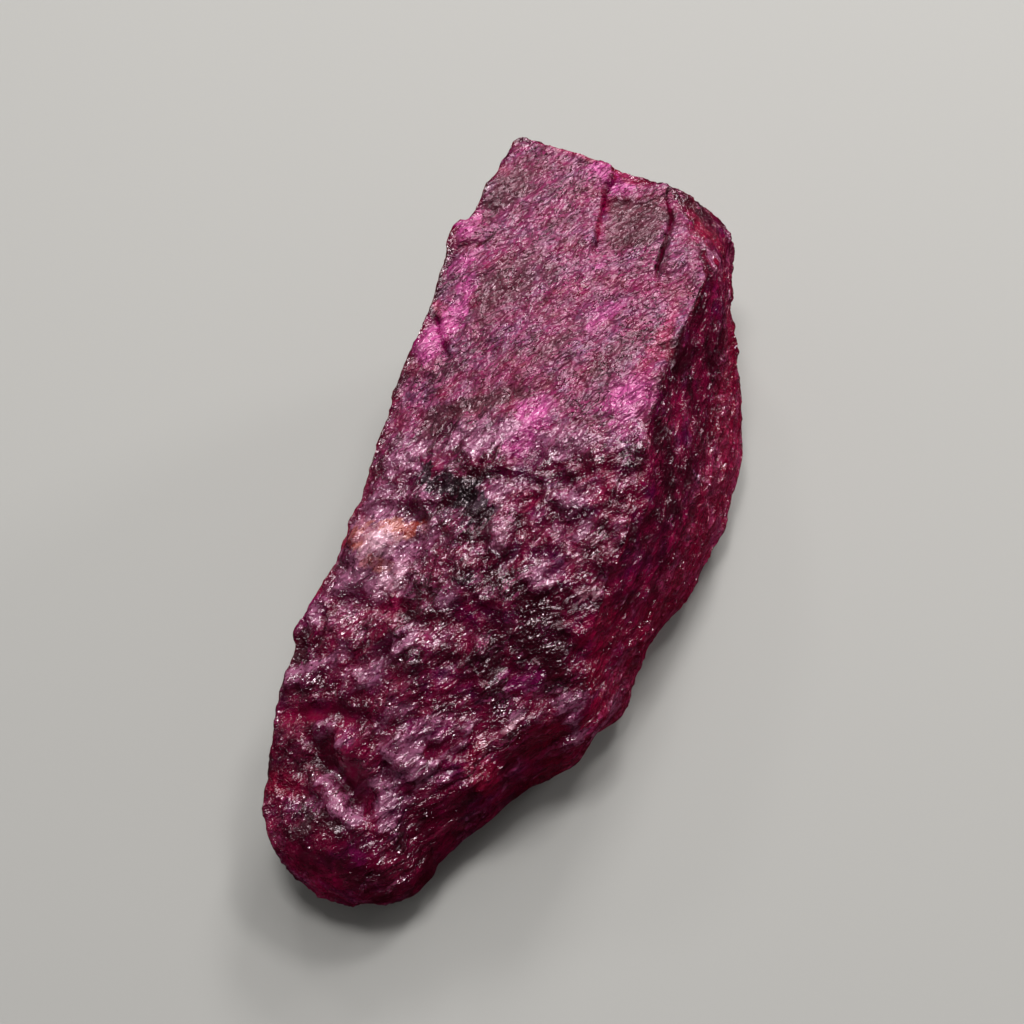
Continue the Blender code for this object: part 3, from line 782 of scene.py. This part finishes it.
MAGENTA_PATCHES = (
    (0.6, -18.4, 1.4, 0.9, 20, 0.6), (-9, 7.4, 2.2, 1.3, 80, 0.9), (-7.8, 9.8, 3.4, 1.3, 80, 0.7),
    (-8.8, 13.8, 2.4, 0.7, 80, 0.45), (-1, -27.6, 1.8, 1, 60, 0.35), (2.5, 11.5, 2, 1, 58, 0.4),
    (0.6, 2.2, 2.8, 1.8, 80, 0.65), (6.6, 5.8, 2.3, 1.3, 75, 0.55), (-0.8, 23.4, 1.4, 1, 30, 0.7),
    (-9.6, 16.6, 1.6, 0.7, 80, 0.4), (1, 15.3, 1, 0.6, 80, 0.5), (-4.6, -9, 1.8, 1, 60, 0.5),
    (6, -13.4, 1.2, 0.7, 20, 0.5), (-9.4, -13.6, 1.8, 1.3, 70, 0.6), (9.4, -15, 1.6, 0.9, 60, 0.5),
)
# The stone's crimson on thin edges, crests and clefts, partly a painted glow.
CRIMSON_AND_GLOW_PATCHES = (
    (-3.4, 25.2, 5, 0.8, -8, 0.9), (7.4, 21.8, 3.6, 1.8, -42, 0.9), (-8.8, 9, 2.2, 0.6, -55, 0.8),
    (7.2, 11, 5, 0.7, 88, 0.5), (0.5, -19.2, 1.3, 0.6, 10, 0.8), (4.6, -19.5, 1.4, 1, 30, 0.8),
    (-8, -24.5, 1.6, 1.3, 70, 0.6), (-8.4, -20.2, 1.4, 0.8, 0, 0.2),
)
GRAPHITE_PATCHES = (
    (-5.1, -3.2, 1.5, 0.7, -35, 1), (-1.6, -4.8, 2, 1.4, -35, 1), (-2.8, -3.3, 2, 1.1, 0, 0.6),
    (-0.4, -8.6, 1.2, 0.6, 0, 0.4),
)
RUST_PATCHES = (
    (-6, -7.1, 1.7, 0.8, 10, 0.7), (-8.3, -7.9, 0.8, 1.3, 20, 0.5), (-6.4, -9.9, 1.4, 0.5, 0, 0.4),
)
# Whitish spots: the first two are bleached, and the last two, small and white, are painted glints.
BLEACHED_AND_GLINT_PATCHES = (
    (-6.8, -8.6, 1.6, 1.1, 30, 0.8), (-5.2, -10.4, 1.6, 1, 50, 0.3), (6.2, -16.4, 0.5, 0.4, 30, 1),
    (8.3, -7, 0.5, 0.4, 30, 1),
)
SMOKY_PATCHES = (
    (2, 20.6, 3.4, 1.9, 80, 0.9), (-3.6, 2.8, 5, 0.9, 32, 0.8), (-7.2, 20.9, 2.8, 1.9, 60, 0.9),
    (-4.5, 13, 3.6, 2, 58, 0.5), (1, 9.5, 4, 1, 58, 0.4), (4.5, 8.5, 2.5, 1.5, 58, 0.4),
)

# The name of each kind of patch, its ovals, and how far noise shifts their outlines, in millimetres.
PATCHES = (
    ("etched", ETCHED_AND_SHEEN_PATCHES, 0.2),
    ("glassy", GLASSY_AND_SHADE_PATCHES, 0.5),
    ("magenta", MAGENTA_PATCHES, 1),
    ("crimson", CRIMSON_AND_GLOW_PATCHES, 0.8),
    ("graphite", GRAPHITE_PATCHES, 0.8),
    ("rust", RUST_PATCHES, 0.8),
    ("bleached", BLEACHED_AND_GLINT_PATCHES, 0.8),
    ("smoky", SMOKY_PATCHES, 1),
)

# Kinds of patch that cover whole facets, with the number of the set of facets.
FACETS_OF_PATCHES = {"etched": 1, "bleached": 2, "magenta": 2, "rust": 2, "graphite": 2}

# Paths beside a crack or a steep step that are painted dark and glassy, a painted shadow of the step, and
# their half width.
CRACK_SHADOWS = (
    (((-0.1, 17.3), (-0.5, 19.8), (-1.1, 22.7), (-0.9, 24.4)), 0.3),
    (((-0.4, 22.3), (1, 22.9), (2.2, 23.6)), 0.14),
    (((3.3, 24.3), (4.2, 22), (4.7, 19), (4.9, 16.6)), 0.24),
    (NOTCH, 0.14),
    (CLEFT, 0.22),
)
CRACK_RAGGEDNESS = 0.25

# How much the gaps in the cracks take away, their size and number, and where the noise makes one.
CRACK_GAPS, CRACK_GAP_SIZE, CRACK_GAP_NUMBER, CRACK_GAP_NOISE = 0.6, 1.3, 97, (-0.1, 0.7)
CRACK_EDGE = 0.6

# %% [markdown]
# ### From the relief to masks
#
# Furrows are painted darker, a painted shade, steep sides more crimson, a painted glow, and facets that face
# where they would mirror the soft light to the camera paler, a painted sheen. Placed by hand, all that would
# miss the relief by a hair. So the finished surface tells it: how far a point lies below its blurred
# neighbourhood, and which way it faces.

# %% Work out the masks
# The way a facet faces when it mirrors the soft light towards the camera. Facets that face so are painted
# paler: a painted sheen.
SHEEN_FACE = (0.05, 0.30, 0.95)
PAINTED_SHEEN_RANGE, STEEP, HOLLOW = (0.72, 0.99), (0.75, 0.35), (0.0, 0.42)
FACET_BLUR = 3
STEEP_BLUR = 14
HOLLOW_BLUR = 90

# How much the luck of the bigger and of the smaller facets counts, and how much less it does on the head.
BIG_LUCK, SMALL_LUCK, HEAD_EVENNESS = 0.4, 0.6, 0.6

# How much crimson the steep sides get, a painted glow, and how much less of it the nose gets.
STEEP_GLOW, NOSE_DARKNESS = 0.5, 0.85

# Size and number of the etched patches on the hidden sides, where the noise makes one, and how strong it is.
HIDDEN_SIZE, HIDDEN_NUMBER, HIDDEN_NOISE, HIDDEN_STRENGTH = 6.0, 91, (0.05, 0.45), 0.6

relief = coarse + named
# How far a point lies below its neighbourhood. Frost and gloss are taken away there: a painted shade in
# hollows and furrows.
hollow = ease(*HOLLOW, blurred(relief, HOLLOW_BLUR) - relief)
layered = ease(*PAINTED_SHEEN_RANGE, outward(surface, FACET_BLUR) @ unit(np.array(SHEEN_FACE)))
steep = ease(*STEEP, outward(surface, STEEP_BLUR)[..., 2])
values = {"hollow": hollow, "layered": layered, "head_face": head_face, "steep": steep, "smooth": smooth,
          "strip": strip, "band": band}
for name, ovals, raggedness in PATCHES:
    places = facet_middles[FACETS_OF_PATCHES[name]] if name in FACETS_OF_PATCHES else plain_body
    values[name] = patches(places, away, ovals, raggedness)
luck = BIG_LUCK * facet_lucks[0] + SMALL_LUCK * facet_lucks[1]
values["facet"] = 0.5 + (luck - 0.5) * (1.0 - HEAD_EVENNESS * head_face)
shaken = ragged(plain_body, CRACK_RAGGEDNESS)
gaps = CRACK_GAPS * ease(*CRACK_GAP_NOISE, swell(plain_body, CRACK_GAP_SIZE, CRACK_GAP_NUMBER))
# Each crack is painted dark and glassy beside it: a painted shadow.
for crack, half_width in CRACK_SHADOWS:
    near = ease(0.0, CRACK_EDGE, profile(shaken, crack, half_width) - gaps)
    values["glassy"] = np.maximum(values["glassy"], near * upper_side(away))
# Steep sides outside the band get a painted crimson glow.
crimson = STEEP_GLOW * steep * (1.0 - band) * (1.0 - NOSE_DARKNESS * nose)
values["crimson"] = np.maximum(values["crimson"], crimson)
pale_there = ease(*HIDDEN_NOISE, swell(facet_middles[1], HIDDEN_SIZE, HIDDEN_NUMBER))
pale_there = HIDDEN_STRENGTH * (1.0 - upper_side(away)) * pale_there
values["etched"] = np.maximum(values["etched"], pale_there)
print("mean of each mask:", {name: float(value.mean().round(3)) for name, value in values.items()})

# %% Make the skin
def placed(name, data):
    """An object with this data, at the middle of the scene."""
    thing = bpy.data.objects.new(name, data)
    bpy.context.scene.collection.objects.link(thing)
    return thing


ruby_mesh = mesh_from_grid("rough_ruby_skin", surface, values)
ruby = placed("rough_ruby_skin", ruby_mesh)
triangles = sum(len(face.vertices) - 2 for face in ruby_mesh.polygons)
print("faces:", len(ruby_mesh.polygons), "triangles:", triangles)

# %% [markdown]
# ## The ruby's material
#
# Corundum is hard and clear with a refractive index of 1.77, so a fresh break is glossy and mirrors the
# lamps in pinpoints. Chromium makes it red, and light that enters comes out again deep crimson, more
# magenta where the stone is thin or clean. Light scattered inside clear red glass would be slow and noisy,
# and little of it shows on so dark a stone, so a deep colour under the gloss stands for it.

# %% Helpers for materials
def linear(hex_colour):
    """The linear (r, g, b, 1) of an sRGB hex colour: ((c + 0.055) / 1.055)^2.4, and c / 12.92 when dark."""
    channels = np.array([int(hex_colour[start:start + 2], 16) for start in (1, 3, 5)]) / 255.0
    bright = ((channels + 0.055) / 1.055) ** 2.4
    return (*np.where(channels <= 0.04045, channels / 12.92, bright), 1.0)


def add(tree, kind, sockets, **settings):
    """Adds a node with its settings and gives its outputs. Its sockets are linked or set to values, where
    a hex colour is made linear."""
    node = tree.nodes.new("ShaderNode" + kind)
    for name, value in settings.items():
        setattr(node, name, value)
    for socket, value in sockets.items():
        if isinstance(value, bpy.types.NodeSocket):
            tree.links.new(value, node.inputs[socket])
        else:
            node.inputs[socket].default_value = linear(value) if isinstance(value, str) else value
    return node.outputs


def new_material(name):
    """A material without nodes, and the function that adds them to it."""
    material = bpy.data.materials.new(name)
    material.use_nodes = True
    material.node_tree.nodes.clear()
    return material, partial(add, material.node_tree)


def shade(node, sockets):
    """A material's one shader, linked to its output."""
    node("OutputMaterial", {"Surface": node("BsdfPrincipled", sockets)["BSDF"]})


def weighted_sum(node, start, weights, sources):
    """start + the sum of source * weight over the sources that are named."""
    total = start
    for name, weight in weights.items():
        total = node("Math", {0: sources[name], 1: weight, 2: total}, operation="MULTIPLY_ADD")["Value"]
    return total


# %% [markdown]
# ### Scales and terraces
#
# The break is etched all over into scales that lie along the grain, 0.3 mm to more than a millimetre long,
# and into terraces with little cliffs. The skin's points are too far apart for them, and a picture of such
# a surface would repeat. So they only bend the shading, in patterns that are measured in millimetres.

# %% Scales and terraces along the grain
# Length along the grain, width across it, and the height that tilts a scale, in millimetres. The smallest
# real scales are under 0.1 mm. They are drawn coarser here, to show in a picture of the whole stone.
BIG_SCALES = (1.3, 0.75, 0.62)
SMALL_SCALES = (0.36, 0.2, 0.06)
SCALE_DISH = 0.25

# The noise that makes the scales' outlines waver: its size, its detail, and how far it shifts them.
WAVER_SIZE, WAVER_DETAIL, WAVER = 0.7, 2.0, (1.6, 1.6, 1.6)
HALF = (0.5, 0.5, 0.5)

# Length, width, steps from the lowest to the highest place of the noise, and the height of one.
TERRACES = (1.5, 0.8, 7.0, 0.18)
TERRACE_DETAIL = 3.0
CLIFF_SLOPE = 6.0


def along_grain(node, place, length, width):
    """The place in coordinates turned to the grain and divided by these lengths, in millimetres."""
    scale = (length * MM, width * MM, width * MM)
    sockets = {"Vector": place, "Rotation": (0.0, 0.0, GRAIN_TURN), "Scale": scale}
    return node("Mapping", sockets, vector_type="TEXTURE")["Vector"]


def tilted_scales(node, place, size, bump):
    """Scales that each fill the cell around a scattered middle m, like the facets of the skin: 0.25 *
    |p - m|^2 + (p - m) . tilt. Gives the surface's direction over the one that bump brings, three
    random numbers for each scale, and the distance from m."""
    length, width, height = size
    scaled = along_grain(node, place, length, width)
    waver = node("TexNoise", {"Vector": scaled, "Scale": WAVER_SIZE, "Detail": WAVER_DETAIL})["Color"]
    shifted = node("VectorMath", {0: waver, 1: WAVER, 2: scaled}, operation="MULTIPLY_ADD")["Vector"]
    scales = node("TexVoronoi", {"Vector": shifted, "Scale": 1.0})
    away = node("VectorMath", {0: shifted, 1: scales["Position"]}, operation="SUBTRACT")["Vector"]
    tilt = node("VectorMath", {0: scales["Color"], 1: HALF}, operation="SUBTRACT")["Vector"]
    slope = node("VectorMath", {0: away, 1: tilt}, operation="DOT_PRODUCT")["Value"]
    reach = node("VectorMath", {0: away, 1: away}, operation="DOT_PRODUCT")["Value"]
    dish = node("Math", {0: reach, 1: SCALE_DISH, 2: slope}, operation="MULTIPLY_ADD")["Value"]
    normal = node("Bump", {"Height": dish, "Distance": height * MM, **bump})["Normal"]
    chances = node("SeparateColor", {"Color": scales["Color"]})
    return normal, chances, scales["Distance"]


def terraces(node, place, size, bump):
    """Little cliffs along the contours of smooth noise. The height h is the part of noise * steps after
    the point, f, and falls back steeply before the next step: h = min(f, 6 * (1 - f)). Gives the surface's
    direction and f."""
    length, width, steps, height = size
    scaled = along_grain(node, place, length, width)
    noise = node("TexNoise", {"Vector": scaled, "Scale": 1.0, "Detail": TERRACE_DETAIL})["Fac"]
    raised = node("Math", {0: noise, 1: steps}, operation="MULTIPLY")["Value"]
    rest = node("Math", {0: raised}, operation="FRACT")["Value"]
    fall = node("Math", {0: rest, 1: -CLIFF_SLOPE, 2: CLIFF_SLOPE}, operation="MULTIPLY_ADD")["Value"]
    step = node("Math", {0: rest, 1: fall}, operation="MINIMUM")["Value"]
    normal = node("Bump", {"Height": step, "Distance": height * MM, **bump})["Normal"]
    return normal, rest


# How strong the big scales, the terraces and the small scales are: the start, and what each mask adds. The
# big scales start from the clouds, and never vanish.
BREAKING = {"smooth": -0.35, "head_face": -0.35}
STEPPING = 0.75, {"head_face": 0.25, "smooth": -0.5, "steep": -0.2}
RIPPLING = 0.45, {"smooth": -0.25, "head_face": 0.1}
BREAKING_CLOUDS, BREAKING_START, LEAST_BREAKING = (0.35, 0.6), 0.45, 0.15


def ruby_relief(node, place, sources):
    """The surface's direction: big scales, terraces over them, and small scales over those. The random
    numbers of the scales, the rims of the small ones and the cliffs become sources for the colours."""
    clouded = {"Value": sources["clouds"], "From Min": BREAKING_CLOUDS[0], "From Max": BREAKING_CLOUDS[1],
               "To Min": BREAKING_START}
    breaking = weighted_sum(node, node("MapRange", clouded)["Result"], BREAKING, sources)
    breaking = node("Math", {0: breaking, 1: LEAST_BREAKING}, operation="MAXIMUM")["Value"]
    normal, big, _ = tilted_scales(node, place, BIG_SCALES, {"Strength": breaking})
    stepping = weighted_sum(node, *STEPPING, sources)
    normal, rest = terraces(node, place, TERRACES, {"Strength": stepping, "Normal": normal})
    rippling = weighted_sum(node, *RIPPLING, sources)
    bump = {"Strength": rippling, "Normal": normal}
    normal, small, distance = tilted_scales(node, place, SMALL_SCALES, bump)
    sources.update({"big scale": big["Red"], "gloss": big["Green"], "small scale": small["Red"],
                    "rosy": small["Blue"], "terrace": rest, "from middle": distance})
    return normal


# %% [markdown]
# ### Frost and colour
#
# An etched scale is frosted and pale, a clean one dark wine, and the two change from scale to scale. They
# could be painted on the mesh, but the scales are as small as its faces. So a sum of chances and masks says
# how frosted a point is, and mixes a deep and a pale colour.

# %% Colours of the ruby
WINE = "#3c0618"
CRIMSON = "#9a0c44"
VIOLET = "#640c54"
BRICK = "#903a4a"
ROSE = "#a02c66"
MAUVE = "#985e88"

# For each kind of patch, its colour where the stone is deep and where it is etched pale.
TINTS = (
    ("smoky", "#481422", "#74404c"),
    ("crimson", "#86082e", "#b83868"),
    ("magenta", "#860c54", "#d2509c"),
    ("etched", "#64143a", "#b46c90"),
    ("bleached", "#b06078", "#e8b0c0"),
    ("rust", "#a0342a", "#cc7a68"),
    ("graphite", "#0c0a0e", "#343236"),
)

# The most of the stone's own colour that a tint can take away. Besides stains, tints give the painted sheen,
# glow and glints.
TINT_SHARE = 0.85

# Smooth noise: size in millimetres, detail, roughness and dimensions. Four dimensions look unlike three.
NOISES = (
    ("clouds", 3.5, 4, 0.6, "3D"),
    ("tints", 2.2, 3, 0.6, "4D"),
    ("flecks", 0.9, 3, 0.7, "3D"),
)

# What rises from 0 to 1, what it follows, and from where to where.
RISES = (
    # The terrace cliffs are painted darker: a painted shade in the creases.
    ("cliff", "terrace", 0.8, 0.92),
    # The rims of the small scales are painted darker: a painted shade where the scales meet.
    ("rim", "from middle", 0.35, 0.75),
    ("glow", "clouds", 0.42, 0.75),
    ("mauve", "tints", 0.35, 0.65),
    ("violet", "tints", 0.5, 0.7),
    ("flecked", "flecks", 0.4, 0.55),
)

# How much each source adds to the luck of a place, which makes sparks on the steep sides, and to its frost.
# The sparks are painted glints: pale specks of frost.
LUCK = {"big scale": 0.5, "clouds": 0.8}
SPARKS = (1.62, 1.9)
# In this sum the head's face and the strip below the band add frost that is partly a painted sheen.
FROST = {
    "sparks": 0.7, "small scale": 0.7, "big scale": 0.8, "clouds": 0.9, "layered": 0.6, "facet": 0.7,
    "head_face": 0.2, "strip": 0.4, "band": -0.2, "etched": 0.6, "magenta": 0.35, "rust": 0.4,
    "bleached": 0.7, "graphite": 0.2, "smoky": -0.15, "glassy": -0.8, "hollow": -0.35, "steep": -0.15,
    "rim": -0.3, "cliff": -1.0,
}
FROST_LIMITS = (1.35, 2.4)

# The least and the most frost that a place can have.
LEAST_FROST = 0.0, {"head_face": 0.17, "glassy": -1.0, "cliff": -0.5}
MOST_FROST = 0.65, {"head_face": 0.3, "etched": 0.2, "bleached": 0.35, "rust": 0.3, "magenta": 0.2}


def ruby_frost(node, sources):
    """How frosted each place is, from 0 to 1."""
    luck = weighted_sum(node, sources["small scale"], LUCK, sources)
    sparks = {"Value": luck, "From Min": SPARKS[0], "From Max": SPARKS[1], "To Max": sources["steep"]}
    sources["sparks"] = node("MapRange", sparks)["Result"]
    frost = weighted_sum(node, 0.0, FROST, sources)
    least = weighted_sum(node, *LEAST_FROST, sources)
    least = node("Math", {0: least, 1: 0.0}, operation="MAXIMUM")["Value"]
    limits = {"From Min": FROST_LIMITS[0], "From Max": FROST_LIMITS[1], "To Min": least,
              "To Max": weighted_sum(node, *MOST_FROST, sources)}
    return node("MapRange", {"Value": frost, **limits}, interpolation_type="SMOOTHSTEP")["Result"]


def ruby_colour(node, sources):
    """Deep wine with glowing clouds without frost, and brick, rose and mauve with it. Stains and brown
    places tint both, and so do the patches of painted sheen, glow and glints. The colours of a mix are its
    sockets 6 and 7, and its result is output 2."""
    glowing = node("Mix", {0: sources["violet"], 6: CRIMSON, 7: VIOLET}, data_type="RGBA")[2]
    deep = node("Mix", {0: sources["glow"], 6: WINE, 7: glowing}, data_type="RGBA")[2]
    pale = node("Mix", {0: sources["mauve"], 6: BRICK, 7: MAUVE}, data_type="RGBA")[2]
    pale = node("Mix", {0: sources["rosy"], 6: pale, 7: ROSE}, data_type="RGBA")[2]
    for name, deep_tint, pale_tint in TINTS:
        terms = {0: sources["flecked"], 1: sources[name], 2: sources[name]}
        amount = node("Math", terms, operation="MULTIPLY_ADD", use_clamp=True)["Value"]
        amount = node("Math", {0: amount, 1: TINT_SHARE}, operation="MULTIPLY")["Value"]
        deep = node("Mix", {0: amount, 6: deep, 7: deep_tint}, data_type="RGBA")[2]
        pale = node("Mix", {0: amount, 6: pale, 7: pale_tint}, data_type="RGBA")[2]
    return node("Mix", {0: sources["frost"], 6: deep, 7: pale}, data_type="RGBA")[2]


# %% [markdown]
# ### Gloss
#
# A break of corundum is glossy, and on this stone the etched facets gleam while the head's face is dull. One
# gloss all over would look varnished. So each big scale has a roughness of its own, and masks say how much
# is mirrored.

# %% Make the ruby material
CORUNDUM_IOR = 1.77
SHEEN = "#ffeef5"

# The roughness of the glossiest and of the dullest scales, and what the head's face adds to it.
ROUGHNESS = (0.08, 0.24)
HEAD_ROUGHNESS = {"head_face": 0.17}

# How much is mirrored: the start, and what each source adds.
# Hollows mirror less: a painted shade over the reflections.
SHINE = 0.45, {
    "frost": 0.35, "facet": 0.65, "etched": 0.25, "hollow": -0.3, "head_face": -0.4, "band": -0.35,
    "glassy": -0.2,
}


def ruby_material():
    """Etched corundum. Chromium under a hard clear gloss gives deep crimson, and etching with its tilted
    scales gives a pale mauve sheen in facets, mirrored from the lamps and partly painted into the colour."""
    material, node = new_material("rough corundum, broken and etched")
    place = node("TexCoord", {})["Object"]
    sources = {name: node("Attribute", {}, attribute_name=name)["Fac"] for name in values}
    for name, size, detail, roughness, dimensions in NOISES:
        sockets = {"Vector": place, "Scale": 1.0 / (size * MM), "Detail": detail, "Roughness": roughness}
        sources[name] = node("TexNoise", sockets, noise_dimensions=dimensions)["Fac"]
    normal = ruby_relief(node, place, sources)
    for name, follows, low, high in RISES:
        sockets = {"Value": sources[follows], "From Min": low, "From Max": high}
        sources[name] = node("MapRange", sockets)["Result"]
    sources["frost"] = ruby_frost(node, sources)
    shine = weighted_sum(node, *SHINE, sources)
    gloss = {"Value": sources["gloss"], "To Min": ROUGHNESS[0], "To Max": ROUGHNESS[1]}
    gloss = node("MapRange", gloss)["Result"]
    shade(node, {
        "Base Color": ruby_colour(node, sources),
        "Normal": normal,
        "Roughness": weighted_sum(node, gloss, HEAD_ROUGHNESS, sources),
        "Specular IOR Level": node("MapRange", {"Value": shine})["Result"],
        "Specular Tint": SHEEN,
        "IOR": CORUNDUM_IOR,
    })
    return material


ruby_mesh.materials.append(ruby_material())
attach(ruby, "root")
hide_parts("ruby")
print("nodes in the ruby's material:", len(ruby_mesh.materials[0].node_tree.nodes))

# %% [markdown]
# ## Floor, light and camera
#
# The stone lies on a plain pale floor, like matt paper. A room could be built, but one big square catches
# the shadow as well.

# %% Floor
FLOOR_HALF = 1.5
FLOOR_GREY = "#b0aeaa"
PAPER_ROUGHNESS = 0.9


def floor_material():
    """Matt uncoated paper: it scatters the light evenly and mirrors next to nothing."""
    material, node = new_material("matt pale paper")
    shade(node, {"Base Color": FLOOR_GREY, "Roughness": PAPER_ROUGHNESS})
    return material


floor_mesh = bpy.data.meshes.new("floor")
corners = [(FLOOR_HALF * x, FLOOR_HALF * y, 0.0) for x, y in ((-1, -1), (1, -1), (1, 1), (-1, 1))]
floor_mesh.from_pydata(corners, [], [(0, 1, 2, 3)])
floor_mesh.materials.append(floor_material())
floor = placed("floor", floor_mesh)

# %% [markdown]
# ### Soft light with small lamps in it
#
# The stone sparkles because its facets mirror a few small bright lamps and nothing else. A pale floor and
# room would be mirrored too, as a grey haze over the red. A photographer hides them with black cards.
# Here they light the stone but are left out of its reflections.

# %% Lights
LOOKED_AT = (-0.0021, 0.00085, 0.009)
ROOM_STRENGTH = 0.16

# Name, place, side of the square, and radiance: the power is radiance * pi * area.
LAMPS = (
    ("soft box", (-0.03, 0.2, 0.35), 0.26, 1.6),
    ("back lamp", (-0.03, 0.32, 0.25), 0.08, 27),
    ("right lamp", (0.05, 0.195, 0.345), 0.06, 31),
    ("low lamp", (0.2, 0.31, 0.11), 0.06, 30),
    ("left lamp", (-0.19, 0.224, 0.273), 0.05, 14),
    ("top lamp", (-0.055, 0.03, 0.385), 0.08, 29),
    ("left card", (-0.33, 0.02, 0.08), 0.24, 0.2),
)


def aimed(name, data, place):
    """A lamp or a camera at its place, turned to the middle of the stone."""
    thing = placed(name, data)
    thing.location = place
    thing.rotation_euler = (Vector(LOOKED_AT) - Vector(place)).to_track_quat("-Z", "Y").to_euler()
    return thing


for name, place, size, radiance in LAMPS:
    light = bpy.data.lights.new(name, "AREA")
    light.shape = "SQUARE"
    light.size = size
    light.energy = radiance * np.pi * size * size
    aimed(name, light, place)
    print(name, round(light.energy, 3), "W")

floor.visible_glossy = False
world = bpy.data.worlds.new("soft room")
bpy.context.scene.world = world
world.use_nodes = True
background = world.node_tree.nodes["Background"].inputs
background["Color"].default_value = (1.0, 1.0, 1.0, 1.0)
background["Strength"].default_value = ROOM_STRENGTH
world.cycles_visibility.glossy = False
bpy.context.scene.view_settings.view_transform = "Standard"

# %% [markdown]
# ### Camera
#
# The photo looks down steeply, a little from the right of the nose. A view from straight above would be
# simpler, but would hide the steep band. So the camera was moved until the outline and the ridge lay right.

# %% Camera
EYE = (0.02175, -0.06468, 0.15854)
LENS = 79.8
NEAREST_SEEN = 0.01

camera_data = bpy.data.cameras.new("camera")
camera_data.lens = LENS
camera_data.clip_start = NEAREST_SEEN
camera = aimed("camera", camera_data, EYE)
bpy.context.scene.camera = camera
print("camera", round((Vector(EYE) - Vector(LOOKED_AT)).length, 3), "m from the stone")
